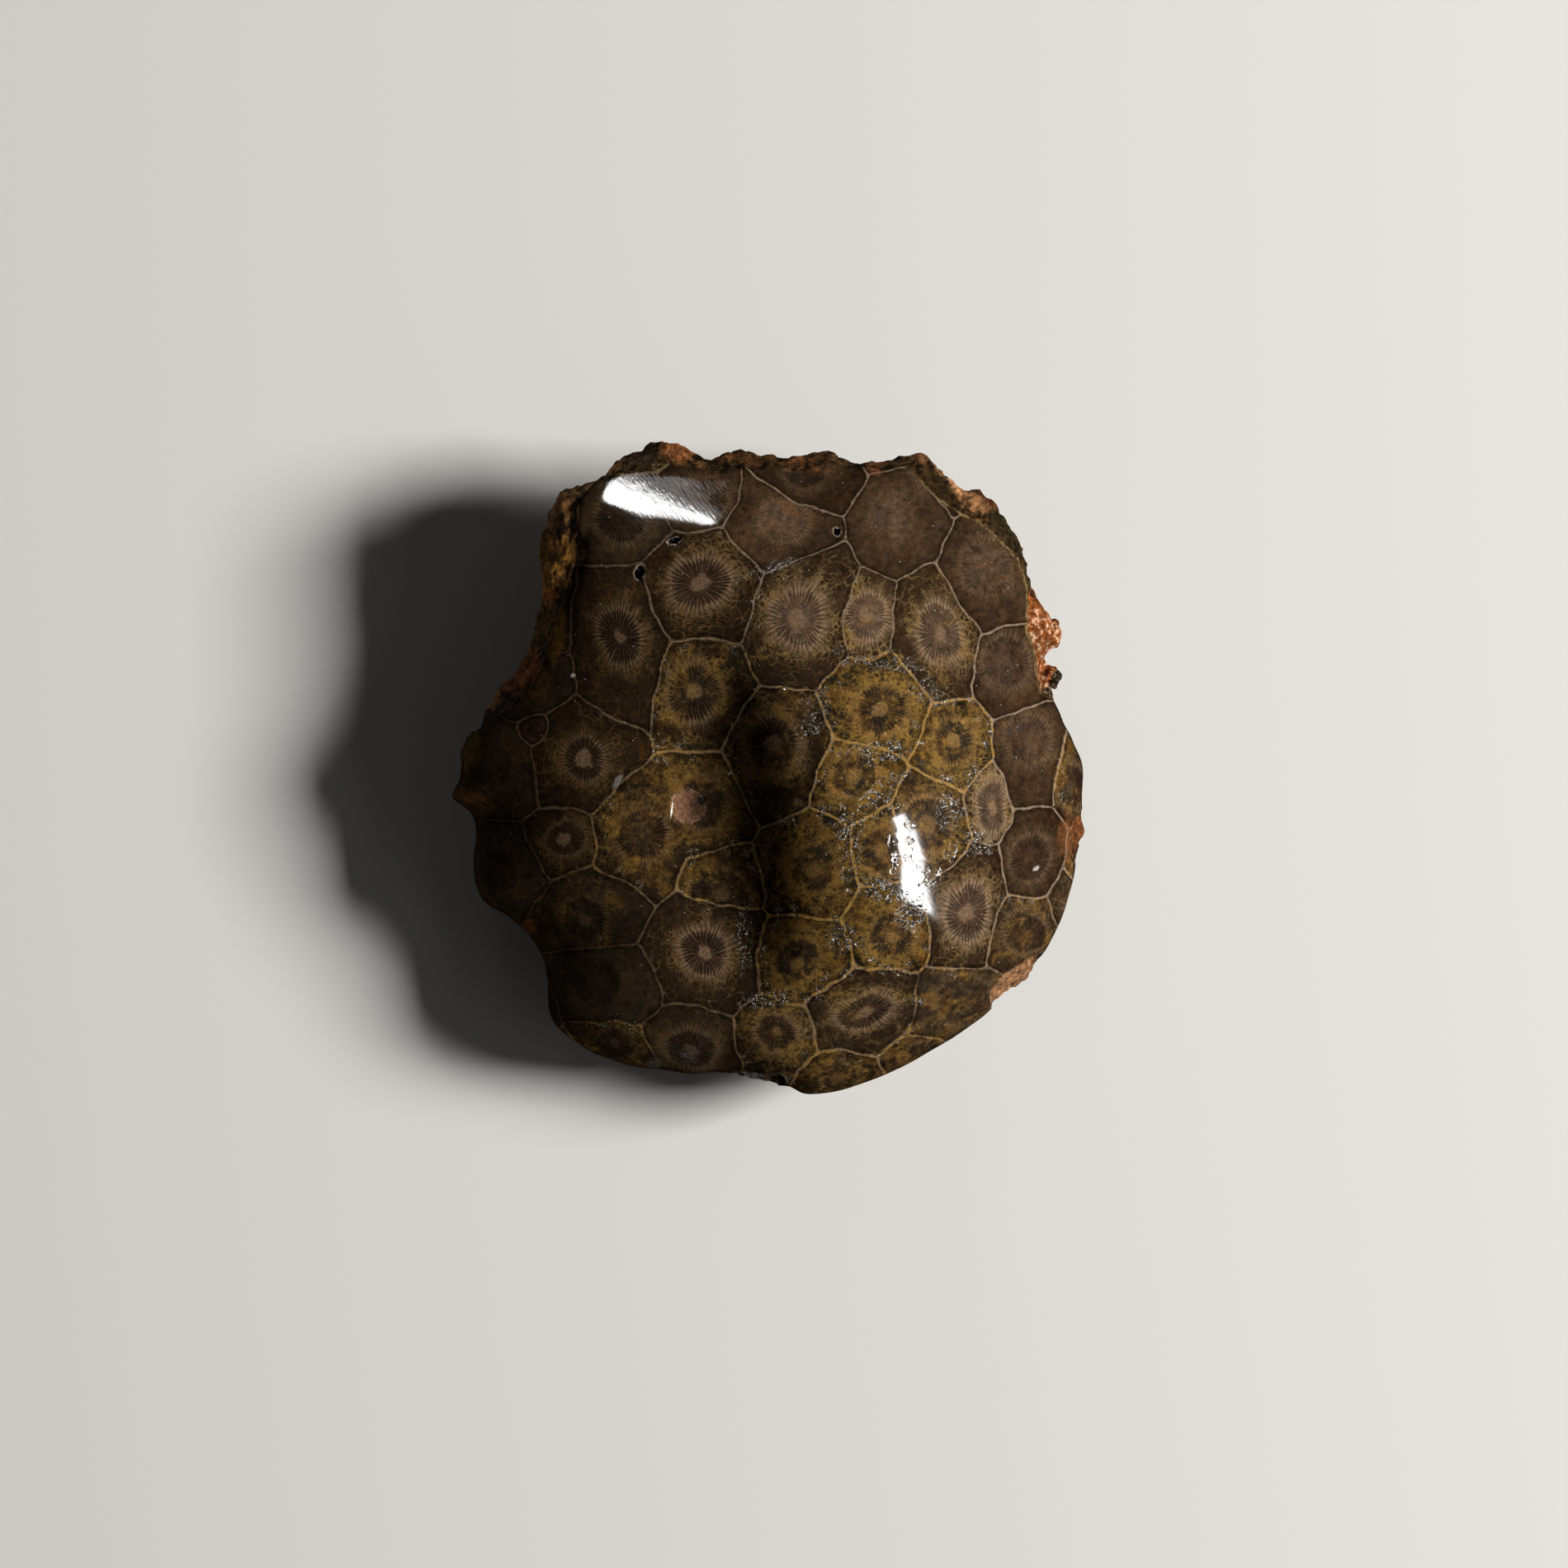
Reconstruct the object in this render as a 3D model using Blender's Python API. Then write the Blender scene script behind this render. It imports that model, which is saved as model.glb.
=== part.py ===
"""A petoskey stone: one natural piece of fossil coral limestone, lying on its back.

The upper face was ground and polished into a soft relief: a high dome on the right, a groove down the
middle and a broad lobe on the left. A rough natural crust is left along the top, the left and parts of
the right edge, and all over the underside, which has a small flat spot that the stone rests on.
Metres, +Z up, origin at the middle of the base. +Y is the top of the stone as its face is looked at.
"""

import math

import bmesh
import bpy
from mathutils import Vector, noise

MM = 0.001
STONE_NAME = "petoskey_stone"

# Outline seen from above, in millimetres, anticlockwise from the right. It is wavy where the crust is.
OUTLINE_MM = [
    (38.5, 0.0), (37.2, 3.3), (36.0, 5.6), (35.2, 8.2), (35.0, 10.6), (34.6, 12.6), (34.4, 14.0),
    (35.4, 14.7), (35.9, 16.2), (35.0, 18.2), (33.6, 20.0), (32.8, 22.8), (31.8, 24.7), (31.2, 27.2),
    (30.4, 29.2), (29.0, 31.3), (27.5, 33.0), (26.0, 33.9), (24.0, 34.0), (22.4, 35.0), (21.5, 36.5),
    (20.0, 37.9), (17.7, 38.6), (16.5, 38.2), (15.2, 37.1), (13.0, 37.9), (10.5, 37.4), (7.8, 38.3),
    (5.0, 38.0), (2.5, 37.5), (0.0, 37.8), (-3.7, 38.9), (-6.5, 38.0), (-8.3, 38.6), (-10.0, 39.6),
    (-11.5, 39.9), (-13.3, 39.7), (-15.0, 38.6), (-17.5, 37.9), (-19.5, 36.6), (-20.2, 35.4),
    (-22.0, 34.5), (-24.8, 34.0), (-25.8, 33.1), (-26.1, 31.0), (-27.3, 28.3), (-26.9, 27.2),
    (-27.6, 25.7), (-27.8, 19.5), (-28.7, 17.7), (-28.6, 16.3), (-29.8, 12.6), (-31.0, 11.5),
    (-32.8, 9.5), (-34.5, 7.0), (-35.5, 5.0), (-37.0, 3.7), (-37.9, 2.2), (-37.9, 0.0), (-38.8, -3.5),
    (-38.4, -4.8), (-36.0, -5.1), (-35.1, -6.5), (-34.9, -8.0), (-35.8, -10.5), (-35.4, -14.5),
    (-34.7, -16.3), (-31.0, -18.6), (-29.0, -20.3), (-27.5, -22.5), (-26.7, -24.5), (-26.3, -30.0),
    (-25.8, -31.5), (-24.0, -33.0), (-21.5, -34.7), (-18.0, -36.0), (-11.0, -37.2), (-5.0, -37.5),
    (-1.0, -38.3), (1.0, -39.5), (5.5, -40.0), (8.5, -39.6), (12.5, -38.3), (16.5, -36.6),
    (20.0, -34.6), (24.0, -32.2), (28.0, -29.2), (31.5, -25.8), (34.0, -22.3), (35.8, -18.8),
    (37.0, -15.0), (38.0, -11.0), (38.7, -8.0), (38.1, -5.8),
]
OUTLINE_SMOOTHING_DEG = 7.0  # the polished face follows the outline only this loosely

# Where the polish ends, as (direction in degrees, millimetres inside the outline). Below zero it
# carries on over the edge and down the side.
POLISH_EDGE_MM = [
    (0, -5.0), (10, -0.5), (16, 2.2), (25, 4.0), (33, 2.0), (38, 0.9), (48, 2.6), (55, 3.6), (62, 3.2),
    (68, 0.9), (80, 1.7), (90, 1.4), (97, 1.9), (105, 3.0), (112, 2.3), (120, 0.9), (126, 3.6),
    (131, 6.4), (136, 5.8), (142, 3.4), (150, 2.0), (165, 1.2), (183, 0.9), (187, 1.6), (195, 0.2),
    (207, -1.5), (230, -2.5), (248, -3.0), (263, 0.6), (271, 2.2), (279, -2.0), (300, -5.0),
    (311, -1.0), (316, 1.6), (322, -1.0), (335, -4.0), (345, 0.5), (349, 2.0), (354, -1.0),
]

# Height of the widest line above the base, as (direction in degrees, millimetres).
RIM_HEIGHT_MM = [
    (0, 13.5), (45, 15.0), (75, 18.0), (105, 19.5), (130, 19.5), (150, 16.5), (170, 13.5), (200, 11.5),
    (250, 11.5), (310, 12.0),
]

# The polished relief: a crown height, a slope across it, and soft hills and hollows on it.
CROWN_HEIGHT_MM = 26.5
CROWN_SLOPE = 0.05  # rise to the right
HILLS_MM = [
    # x, y, height, reach to the left, to the right, down and up, turn of the long way from +Y in degrees
    (9.0, -8.0, 6.5, 8.4, 13.0, 12.0, 22.0, 14.0),  # the dome
    (-17.0, 7.0, 1.0, 8.0, 8.0, 15.0, 15.0, 8.0),  # the left lobe
    (-14.0, 29.0, 1.8, 12.0, 10.0, 5.0, 4.5, 12.0),  # the shoulder at the top left
    (-27.5, -25.0, -3.2, 7.0, 7.0, 6.0, 6.0, 0.0),  # the scoop at the lower left
    (-36.0, -8.0, -1.6, 5.0, 5.0, 4.0, 4.0, 0.0),  # the nick in the left edge
    (2.0, -31.0, 1.0, 9.0, 9.0, 5.0, 5.0, 0.0),  # the swell below the groove
]
GROOVE_START_MM = (-5.7, 9.5)
GROOVE_END_MM = (-2.0, -25.4)
GROOVE_DEPTH_MM = 2.5
GROOVE_REACH_MM = (7.4, 3.2)  # to its left and to its right
GROOVE_FADE_MM = (7.7, 4.9)  # how gently it begins at the top and ends at the bottom

# How the face rolls over to the widest line, and the underside back in to the flat spot.
FACE_POWERS = (2.3, 2.0)
BASE_POWERS = (2.5, 2.0)
FLAT_SPOT_CUT_MM = 0.7

# The crust: a step down from the polish, and lumps in two sizes.
CRUST_STEP_MM = 0.55
LUMP_SIZES_MM = [(7.5, 2.4), (3.8, 1.4)]  # spacing and height
LUMP_SHARE_AT_RIM = 0.5  # the widest line keeps the outline's own waves
CRUST_SEED = Vector((3.7, 11.3, 5.1))

# Grains set in the right edge: x, y, radius, and how tall and how long each is for its radius.
GRAINS_MM = [(34.2, 11.1, 1.55, 1.35, 0.95), (34.1, 16.3, 1.8, 0.9, 1.25)]

GRID_CUTS = 39  # cuts along each side of the starting block
SIDE_CUTS = 7
FACE_SHARE = 0.94  # how far out the block's top reaches
BASE_SHARE = 0.86

STONE_COLOUR = (0.085, 0.058, 0.036, 1.0)
STONE_ROUGHNESS = 0.25


def smooth_step(low, high, value):
    """0 below low, 1 above high and a soft S between them."""
    share = min(1.0, max(0.0, (value - low) / (high - low)))
    return share * share * (3 - 2 * share)


def around(table, degrees):
    """The value of a table of (direction, value) at a direction, eased between its rows."""
    degrees %= 360
    rows = [(table[-1][0] - 360, table[-1][1])] + table + [(table[0][0] + 360, table[0][1])]
    for (before, low), (after, high) in zip(rows, rows[1:]):
        if before <= degrees <= after:
            return low + (high - low) * smooth_step(before, after, degrees)
    return rows[-1][1]


def outline_table():
    """The outline as rows of (direction in degrees, distance from the middle)."""
    rows = [(math.degrees(math.atan2(y, x)) % 360, math.hypot(x, y)) for x, y in OUTLINE_MM]
    return sorted(rows)


def smoothed(table, spread):
    """The same outline with its waves evened out, one row for every two degrees."""
    rows = []
    for degrees in range(0, 360, 2):
        steps = range(-3 * int(spread), 3 * int(spread) + 1)
        weights = [math.exp(-0.5 * (step / spread) ** 2) for step in steps]
        values = [around(table, degrees + step) for step in steps]
        rows.append((degrees, sum(w * v for w, v in zip(weights, values)) / sum(weights)))
    return rows


def hill(x, y, row):
    """Height of one soft hill of the relief at a point."""
    centre_x, centre_y, height, left, right, down, up, turn = row
    angle = math.radians(turn)
    side = (x - centre_x) * math.cos(angle) + (y - centre_y) * math.sin(angle)
    forward = (y - centre_y) * math.cos(angle) - (x - centre_x) * math.sin(angle)
    across = right if side > 0 else left
    along = up if forward > 0 else down
    return height * math.exp(-0.5 * ((side / across) ** 2 + (forward / along) ** 2))


def groove(x, y):
    """Depth of the groove at a point: a soft trough along a line that fades at both ends."""
    start, end = Vector(GROOVE_START_MM), Vector(GROOVE_END_MM)
    along = (end - start).normalized()
    offset = Vector((x, y)) - start
    distance = offset.dot(along)
    side = offset.x * along.y - offset.y * along.x
    fade_in, fade_out = GROOVE_FADE_MM
    length = (end - start).length
    window = smooth_step(-fade_in, fade_in, distance) * (1 - smooth_step(-fade_out, fade_out, distance - length))
    reach = GROOVE_REACH_MM[0] if side > 0 else GROOVE_REACH_MM[1]
    return GROOVE_DEPTH_MM * window * math.exp(-0.5 * (side / reach) ** 2)


def crown(x, y):
    """Height of the polished relief above the base, before it rolls over at the edge."""
    height = CROWN_HEIGHT_MM + CROWN_SLOPE * x - groove(x, y)
    return height + sum(hill(x, y, row) for row in HILLS_MM)


def disc_point(u, v):
    """A point of the square from -1 to 1, moved into the round disc of the same size."""
    return u * math.sqrt(1 - v * v / 2), v * math.sqrt(1 - u * u / 2)


def place_on_stone(corner, outline, even_outline):
    """Where a point of the starting block goes, how far inside the polish that is, and its share of lumps."""
    across, up = disc_point(corner.x, corner.y)
    degrees = math.degrees(math.atan2(up, across))
    share = math.hypot(across, up)
    if corner.z > 1 - 1e-6:
        turn = math.asin((share * FACE_SHARE) ** (FACE_POWERS[0] / 2))
    elif corner.z < -1 + 1e-6:
        turn = math.pi - math.asin((share * BASE_SHARE) ** (BASE_POWERS[0] / 2))
    else:
        first = math.asin(FACE_SHARE ** (FACE_POWERS[0] / 2))
        last = math.pi - math.asin(BASE_SHARE ** (BASE_POWERS[0] / 2))
        turn = first + (last - first) * (1 - corner.z) / 2
    on_face = turn <= math.pi / 2
    powers = FACE_POWERS if on_face else BASE_POWERS
    out = math.sin(turn) ** (2 / powers[0])
    level = abs(math.cos(turn)) ** (2 / powers[1])

    even = around(even_outline, degrees)
    reach = even + (around(outline, degrees) - even) * smooth_step(0.84, 0.99, out)
    x = out * reach * math.cos(math.radians(degrees))
    y = out * reach * math.sin(math.radians(degrees))
    rim = around(RIM_HEIGHT_MM, degrees)
    if on_face:
        z = rim + (crown(x, y) - rim) * level
        inside = reach - out * reach
    else:
        z = max(0.0, rim * (1 - level) - FLAT_SPOT_CUT_MM)
        inside = z - rim
    lump_share = LUMP_SHARE_AT_RIM + (1 - LUMP_SHARE_AT_RIM) * smooth_step(0.0, 0.6, level)
    return Vector((x, y, z)), inside - around(POLISH_EDGE_MM, degrees), lump_share


def starting_block():
    """A block from -1 to 1 with a fine even grid on its top and base and coarser rows round its sides."""
    mesh = bmesh.new()
    bmesh.ops.create_cube(mesh, size=2)
    upright = [e for e in mesh.edges if abs(e.verts[0].co.z - e.verts[1].co.z) > 1]
    bmesh.ops.subdivide_edges(mesh, edges=upright, cuts=SIDE_CUTS, use_grid_fill=True)
    level = [e for e in mesh.edges if abs(e.verts[0].co.z - e.verts[1].co.z) < 1e-6]
    bmesh.ops.subdivide_edges(mesh, edges=level, cuts=GRID_CUTS, use_grid_fill=True)
    return mesh


def lumps(point):
    """Height of the crust's lumps at a point."""
    return sum(height * noise.noise(point / spacing + CRUST_SEED) for spacing, height in LUMP_SIZES_MM)


def shape_stone():
    """The block drawn out into the stone, its crust roughened and its base cut flat, in millimetres."""
    outline = outline_table()
    even_outline = smoothed(outline, OUTLINE_SMOOTHING_DEG)
    mesh = starting_block()
    inside_polish = {}
    lump_shares = {}
    for vertex in mesh.verts:
        place, inside_polish[vertex], lump_shares[vertex] = place_on_stone(vertex.co.copy(), outline, even_outline)
        vertex.co = place
    mesh.normal_update()
    moved = {}
    for vertex in mesh.verts:
        edge_wave = 0.5 * noise.noise(vertex.co / 2.6)
        crust = 1 - smooth_step(-0.5, 0.5, inside_polish[vertex] + edge_wave)
        height = lump_shares[vertex] * (lumps(vertex.co) - CRUST_STEP_MM)
        moved[vertex] = vertex.co + vertex.normal * crust * height
    for vertex, place in moved.items():
        on_flat_spot = vertex.co.z < 1e-6
        vertex.co = place
        vertex.co.z = 0.0 if on_flat_spot else max(0.0, place.z)
    return mesh


def add_grains(stone):
    """Joins the grains to the crust with a Boolean union each."""
    guides = bpy.data.collections.new("grain_guides")
    bpy.context.scene.collection.children.link(guides)
    for number, (x, y, radius, tall, long) in enumerate(GRAINS_MM):
        rim = around(RIM_HEIGHT_MM, math.degrees(math.atan2(y, x)))
        mesh = bmesh.new()
        bmesh.ops.create_icosphere(mesh, subdivisions=3, radius=radius * MM)
        bmesh.ops.scale(mesh, verts=mesh.verts, vec=(1.0, long, tall))
        data = bpy.data.meshes.new(f"grain_{number}")
        mesh.to_mesh(data)
        mesh.free()
        grain = bpy.data.objects.new(f"grain_{number}", data)
        grain.location = (x * MM, y * MM, rim * MM)
        grain.hide_render = True
        grain.display_type = "WIRE"
        guides.objects.link(grain)
        union = stone.modifiers.new(f"join_{grain.name}", "BOOLEAN")
        union.operation = "UNION"
        union.object = grain


def stone_material():
    """Polished brown coral limestone."""
    material = bpy.data.materials.new("polished_coral_limestone")
    material.use_nodes = True
    surface = material.node_tree.nodes["Principled BSDF"]
    surface.inputs["Base Color"].default_value = STONE_COLOUR
    surface.inputs["Roughness"].default_value = STONE_ROUGHNESS
    surface.inputs["Metallic"].default_value = 0.0
    return material


def centred(mesh):
    """Moves the stone so that the middle of its base is the origin, and turns millimetres to metres."""
    xs = [v.co.x for v in mesh.verts]
    ys = [v.co.y for v in mesh.verts]
    middle = Vector(((min(xs) + max(xs)) / 2, (min(ys) + max(ys)) / 2, 0.0))
    for vertex in mesh.verts:
        vertex.co = (vertex.co - middle) * MM


def main():
    for obj in list(bpy.data.objects):
        bpy.data.objects.remove(obj)
    parts = bpy.data.collections.new(STONE_NAME)
    bpy.context.scene.collection.children.link(parts)
    mesh = shape_stone()
    centred(mesh)
    bmesh.ops.recalc_face_normals(mesh, faces=mesh.faces)
    data = bpy.data.meshes.new(STONE_NAME)
    mesh.to_mesh(data)
    mesh.free()
    data.materials.append(stone_material())
    data.shade_smooth()
    stone = bpy.data.objects.new(STONE_NAME, data)
    parts.objects.link(stone)
    add_grains(stone)


main()
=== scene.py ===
import math
import random
from functools import partial

import bpy
import numpy as np
from mathutils import Matrix, Vector, noise


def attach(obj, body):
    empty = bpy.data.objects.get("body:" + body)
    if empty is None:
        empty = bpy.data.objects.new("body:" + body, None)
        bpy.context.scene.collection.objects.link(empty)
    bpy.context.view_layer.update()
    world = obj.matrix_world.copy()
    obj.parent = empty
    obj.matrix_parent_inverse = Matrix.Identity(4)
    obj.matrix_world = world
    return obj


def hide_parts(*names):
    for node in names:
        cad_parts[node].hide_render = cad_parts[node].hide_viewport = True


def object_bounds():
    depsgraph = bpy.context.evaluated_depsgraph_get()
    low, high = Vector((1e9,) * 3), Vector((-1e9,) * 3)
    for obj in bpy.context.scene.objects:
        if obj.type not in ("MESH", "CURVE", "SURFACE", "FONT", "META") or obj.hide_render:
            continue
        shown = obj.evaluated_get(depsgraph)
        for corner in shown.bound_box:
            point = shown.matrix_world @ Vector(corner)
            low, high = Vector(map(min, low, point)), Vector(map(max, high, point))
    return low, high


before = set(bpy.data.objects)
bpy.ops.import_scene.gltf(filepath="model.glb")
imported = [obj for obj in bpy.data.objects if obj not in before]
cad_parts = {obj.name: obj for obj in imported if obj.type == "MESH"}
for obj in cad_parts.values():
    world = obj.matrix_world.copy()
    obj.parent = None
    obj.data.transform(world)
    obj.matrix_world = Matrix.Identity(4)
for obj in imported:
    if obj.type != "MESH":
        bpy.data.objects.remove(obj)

for startObject in ("Cube", "Light", "Camera"):
    if startObject in bpy.data.objects:
        bpy.data.objects.remove(bpy.data.objects[startObject])
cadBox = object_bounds()
mm = 0.001

# Places on the stone are millimetres seen from above, from the middle of its outline in the photograph.
faceMiddle = np.array([0.26, -0.15])  # the model's origin in those millimetres


def linear(hexColour):
    # sRGB hex to the linear colour that a socket takes
    parts = [int(hexColour[i:i + 2], 16) / 255 for i in (1, 3, 5)]
    return tuple(c / 12.92 if c <= 0.04045 else ((c + 0.055) / 1.055) ** 2.4 for c in parts) + (1.0,)


def addNode(tree, kind, *inputs, **settings):
    # adds a node and sets it up; inputs are given in their order, or by name in a dictionary, and a node
    # given as an input means its first output
    node = tree.nodes.new("ShaderNode" + kind)
    for name, value in settings.items():
        setattr(node, name, value)
    given = {}
    for number, value in enumerate(inputs):
        given.update(value if isinstance(value, dict) else {number: value})
    for name, value in given.items():
        if isinstance(value, bpy.types.Node):
            value = value.outputs[0]
        if isinstance(value, bpy.types.NodeSocket):
            tree.links.new(value, node.inputs[name])
        else:
            node.inputs[name].default_value = value
    return node


def selectOnly(obj):
    for other in bpy.context.selected_objects:
        other.select_set(False)
    obj.select_set(True)
    bpy.context.view_layer.objects.active = obj


def smoothStep(low, high, value):
    share = np.clip((value - low) / (high - low), 0, 1)
    return share * share * (3 - 2 * share)


# Petoskey stone is a colony of corals turned to limestone. Each cell has a thin wall, a ring, some forty
# radial blades round a solid middle, and a net of bubbles between the ring and the wall.
cells = {
    "blades": 20,  # long ones; a short one stands between each two
    "waver": [(5.5, 0.8), (1.7, 0.3)],  # spacing and size of the bends in the walls, in millimetres
    "waverLevel": 3.0,  # the height at which the noise that bends them is read
    "seed": 11,
    "chanceStep": 0.37,  # from one cell's own chance number to the next one's
    # cells whose places are only guessed: a ring of them down the sides, and rows over the underside
    "ringRadius": 45.0,
    "ringStep": 14,  # degrees
    "spacing": 11.0,  # between the middles of the underside's cells
    "rowSpacing": 0.87,  # between its rows, in cell spacings
    "rowsEachWay": 5,
    "baseOffset": 200.0,  # moves the underside's cells away from the face's
    "straying": 1.8,  # how far each lies from its spot at most, in millimetres to each side
    "halfSizes": (4.8, 6.2),  # between which half the width and half the height of each lie
    "guessedMiddle": 0.9, "guessedClearness": 0.35, "guessedStain": 0.6, "guessedTone": -0.2,
}
# middle x, y, half width, half height, lean in degrees | eye x, y, half width, half height | radius of the
# eye's solid middle | how clear the blades are | ochre stain | tone, from charcoal at -0.5 to smoky at 0.4
cellRows = [
    # along the top, from the left
    (-17.3, 29.3, 5.2, 5.2, 0, -17.3, 30.0, 3.2, 3.2, 0.0, 0.35, 0.0, -0.35),
    (-8.2, 32.2, 4.4, 4.0, 0, -8.0, 32.0, 3.0, 2.8, 0.8, 0.2, 0.0, 0.1),
    (2.3, 28.6, 6.9, 5.2, -8, 2.3, 29.5, 2.8, 2.6, 0.0, 0.25, 0.0, 0.3),
    (6.4, 35.0, 5.6, 5.4, -10, 5.0, 35.6, 2.6, 2.0, 0.0, 0.15, 0.1, 0.05),
    (15.9, 29.8, 5.6, 6.4, 0, 15.3, 29.8, 2.4, 2.6, 0.0, 0.08, 0.1, 0.4),
    (26.6, 23.8, 5.4, 7.2, 12, 26.5, 23.8, 3.0, 3.2, 0.6, 0.12, 0.0, 0.25),
    # the second row
    (-26.5, 29.5, 3.6, 4.0, 0, -26.5, 29.5, 2.2, 2.4, 0.6, 0.08, 0.2, -0.2),
    (-27.4, 19.5, 4.2, 6.4, 0, -27.4, 19.5, 2.2, 3.0, 0.6, 0.08, 0.15, -0.35),
    (-17.2, 14.8, 5.6, 9.6, 0, -17.6, 15.8, 2.7, 3.3, 0.8, 1.0, 0.1, -0.1),
    (-8.3, 21.3, 7.0, 6.6, -17, -7.9, 22.0, 3.2, 3.2, 1.05, 1.0, 0.2, 0.05),
    (4.6, 18.0, 5.6, 9.4, -20, 4.0, 17.8, 3.1, 3.3, 1.2, 1.0, 0.3, 0.35),
    (12.4, 18.2, 3.3, 5.0, 0, 12.3, 18.0, 2.5, 3.0, 0.9, 0.9, 0.4, 0.4),
    (20.5, 15.8, 4.9, 7.4, 14, 21.0, 16.0, 2.4, 3.4, 0.7, 0.7, 0.4, 0.25),
    (29.2, 11.3, 4.6, 5.2, 0, 28.8, 12.5, 2.8, 3.0, 0.7, 0.14, 0.0, 0.1),
    # the third row
    (-28.3, 10.4, 4.8, 4.2, 0, -28.3, 10.4, 2.4, 2.2, 0.6, 0.05, 0.1, -0.35),
    (-27.8, 4.3, 1.7, 1.7, 0, -27.8, 4.3, 1.0, 1.0, 0.0, 0.05, 0.0, -0.1),
    (-7.9, 8.6, 6.3, 6.6, 0, -8.5, 8.8, 3.0, 3.2, 0.85, 0.9, 0.55, 0.0),
    (13.6, 7.8, 5.8, 5.4, 0, 13.9, 6.8, 3.0, 3.0, 1.0, 0.7, 0.9, 0.0),
    (-33.4, -0.8, 5.4, 5.8, 0, -33.4, 0.0, 2.8, 3.0, 0.7, 0.12, 0.1, -0.4),
    (-21.9, 1.4, 6.0, 6.6, 0, -21.6, 1.0, 2.6, 2.6, 1.1, 0.95, 0.2, -0.1),
    (1.0, 2.0, 6.2, 7.0, 0, 0.7, 2.4, 3.0, 3.2, 1.0, 0.6, 0.5, 0.0),
    (10.3, -1.9, 4.7, 4.9, 0, 10.6, -1.1, 2.7, 2.7, 0.9, 0.6, 0.95, 0.05),
    (22.9, 2.4, 4.3, 5.2, 0, 22.6, 2.8, 2.4, 2.8, 0.9, 0.7, 0.9, 0.05),
    (31.5, 1.9, 4.2, 6.2, 8, 31.5, 3.5, 2.6, 3.2, 0.8, 0.13, 0.1, 0.2),
    (37.6, -2.0, 3.0, 5.4, 0, 37.0, -2.3, 1.8, 2.8, 0.6, 0.2, 0.5, 0.0),
    # the fourth row
    (-32.6, -12.6, 5.4, 5.0, 0, -32.8, -13.0, 2.8, 2.8, 0.7, 0.12, 0.0, -0.5),
    (-24.3, -9.4, 4.0, 3.8, 0, -23.8, -9.1, 2.2, 2.2, 0.8, 0.9, 0.2, -0.1),
    (-15.3, -8.2, 5.3, 7.0, 0, -15.0, -8.3, 3.0, 3.0, 0.0, 0.5, 0.55, -0.1),
    (-8.0, -4.4, 5.4, 5.8, 0, -7.6, -4.3, 3.0, 3.0, 0.0, 0.5, 0.55, -0.1),
    (5.2, -12.0, 5.4, 6.0, 0, 5.5, -12.0, 2.7, 2.8, 0.9, 0.5, 0.9, 0.0),
    (14.2, -9.8, 3.6, 4.4, 0, 14.0, -10.0, 2.4, 2.6, 0.8, 0.5, 0.8, 0.0),
    (19.6, -7.8, 4.4, 5.8, 0, 19.2, -6.9, 2.4, 3.0, 0.8, 0.5, 0.6, 0.1),
    (26.5, -4.6, 2.7, 4.6, -12, 27.0, -4.8, 1.8, 3.0, 0.7, 0.8, 0.3, 0.2),
    (31.8, -11.0, 4.0, 5.2, -8, 31.3, -11.0, 2.4, 2.8, 0.0, 0.16, 0.0, 0.05),
    (38.8, -11.5, 2.8, 5.2, 0, 38.8, -11.5, 1.8, 2.6, 0.5, 0.2, 0.5, 0.0),
    # the fifth row
    (-21.0, -17.6, 6.0, 4.6, 20, -22.0, -18.5, 2.8, 2.8, 0.8, 0.4, 0.35, -0.35),
    (-5.1, -13.6, 4.0, 3.5, 0, -5.8, -15.6, 3.2, 3.0, 0.8, 0.4, 0.65, 0.0),
    (-7.4, -22.6, 6.3, 6.2, 0, -7.5, -22.5, 2.8, 2.8, 0.9, 0.9, 0.22, -0.2),
    (4.4, -23.3, 5.4, 4.8, 0, 4.0, -23.3, 2.6, 2.6, 0.8, 0.6, 0.95, 0.0),
    (15.0, -19.4, 4.8, 5.2, 0, 15.0, -20.5, 2.6, 2.6, 0.8, 0.6, 0.95, 0.05),
    (24.0, -16.6, 4.4, 7.8, -6, 24.0, -17.5, 2.4, 3.2, 0.9, 0.8, 0.2, 0.15),
    (31.4, -20.4, 5.0, 5.2, -30, 31.3, -20.0, 2.6, 2.8, 0.0, 0.2, 0.45, -0.15),
    # along the bottom
    (-20.3, -26.2, 6.6, 4.9, 0, -21.0, -26.0, 3.2, 3.0, 1.2, 0.12, 0.0, -0.5),
    (-19.3, -34.2, 5.6, 3.4, -15, -18.5, -33.6, 2.4, 1.8, 0.6, 0.3, 0.5, -0.3),
    (-8.9, -33.4, 4.8, 4.3, 0, -9.0, -33.8, 3.0, 2.6, 0.6, 0.4, 0.2, -0.35),
    (1.2, -32.3, 4.7, 4.6, 0, 1.4, -32.1, 2.5, 2.5, 0.6, 0.8, 0.55, -0.1),
    (11.8, -29.3, 6.6, 4.8, 22, 11.8, -29.3, 3.3, 1.9, 0.9, 0.6, 0.4, -0.2),
    (23.2, -29.6, 6.4, 5.0, 22, 24.0, -28.0, 3.0, 2.8, 0.0, 0.15, 0.45, -0.5),
    (9.2, -37.8, 5.0, 3.0, 0, 9.0, -37.6, 2.4, 1.8, 0.6, 0.3, 0.7, -0.1),
    (19.5, -35.0, 4.6, 3.0, 20, 19.5, -35.0, 2.4, 1.8, 0.6, 0.2, 0.6, -0.2),
]
twinEyes = (27, 28)  # these two rows share one cell, with no wall between them

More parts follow.
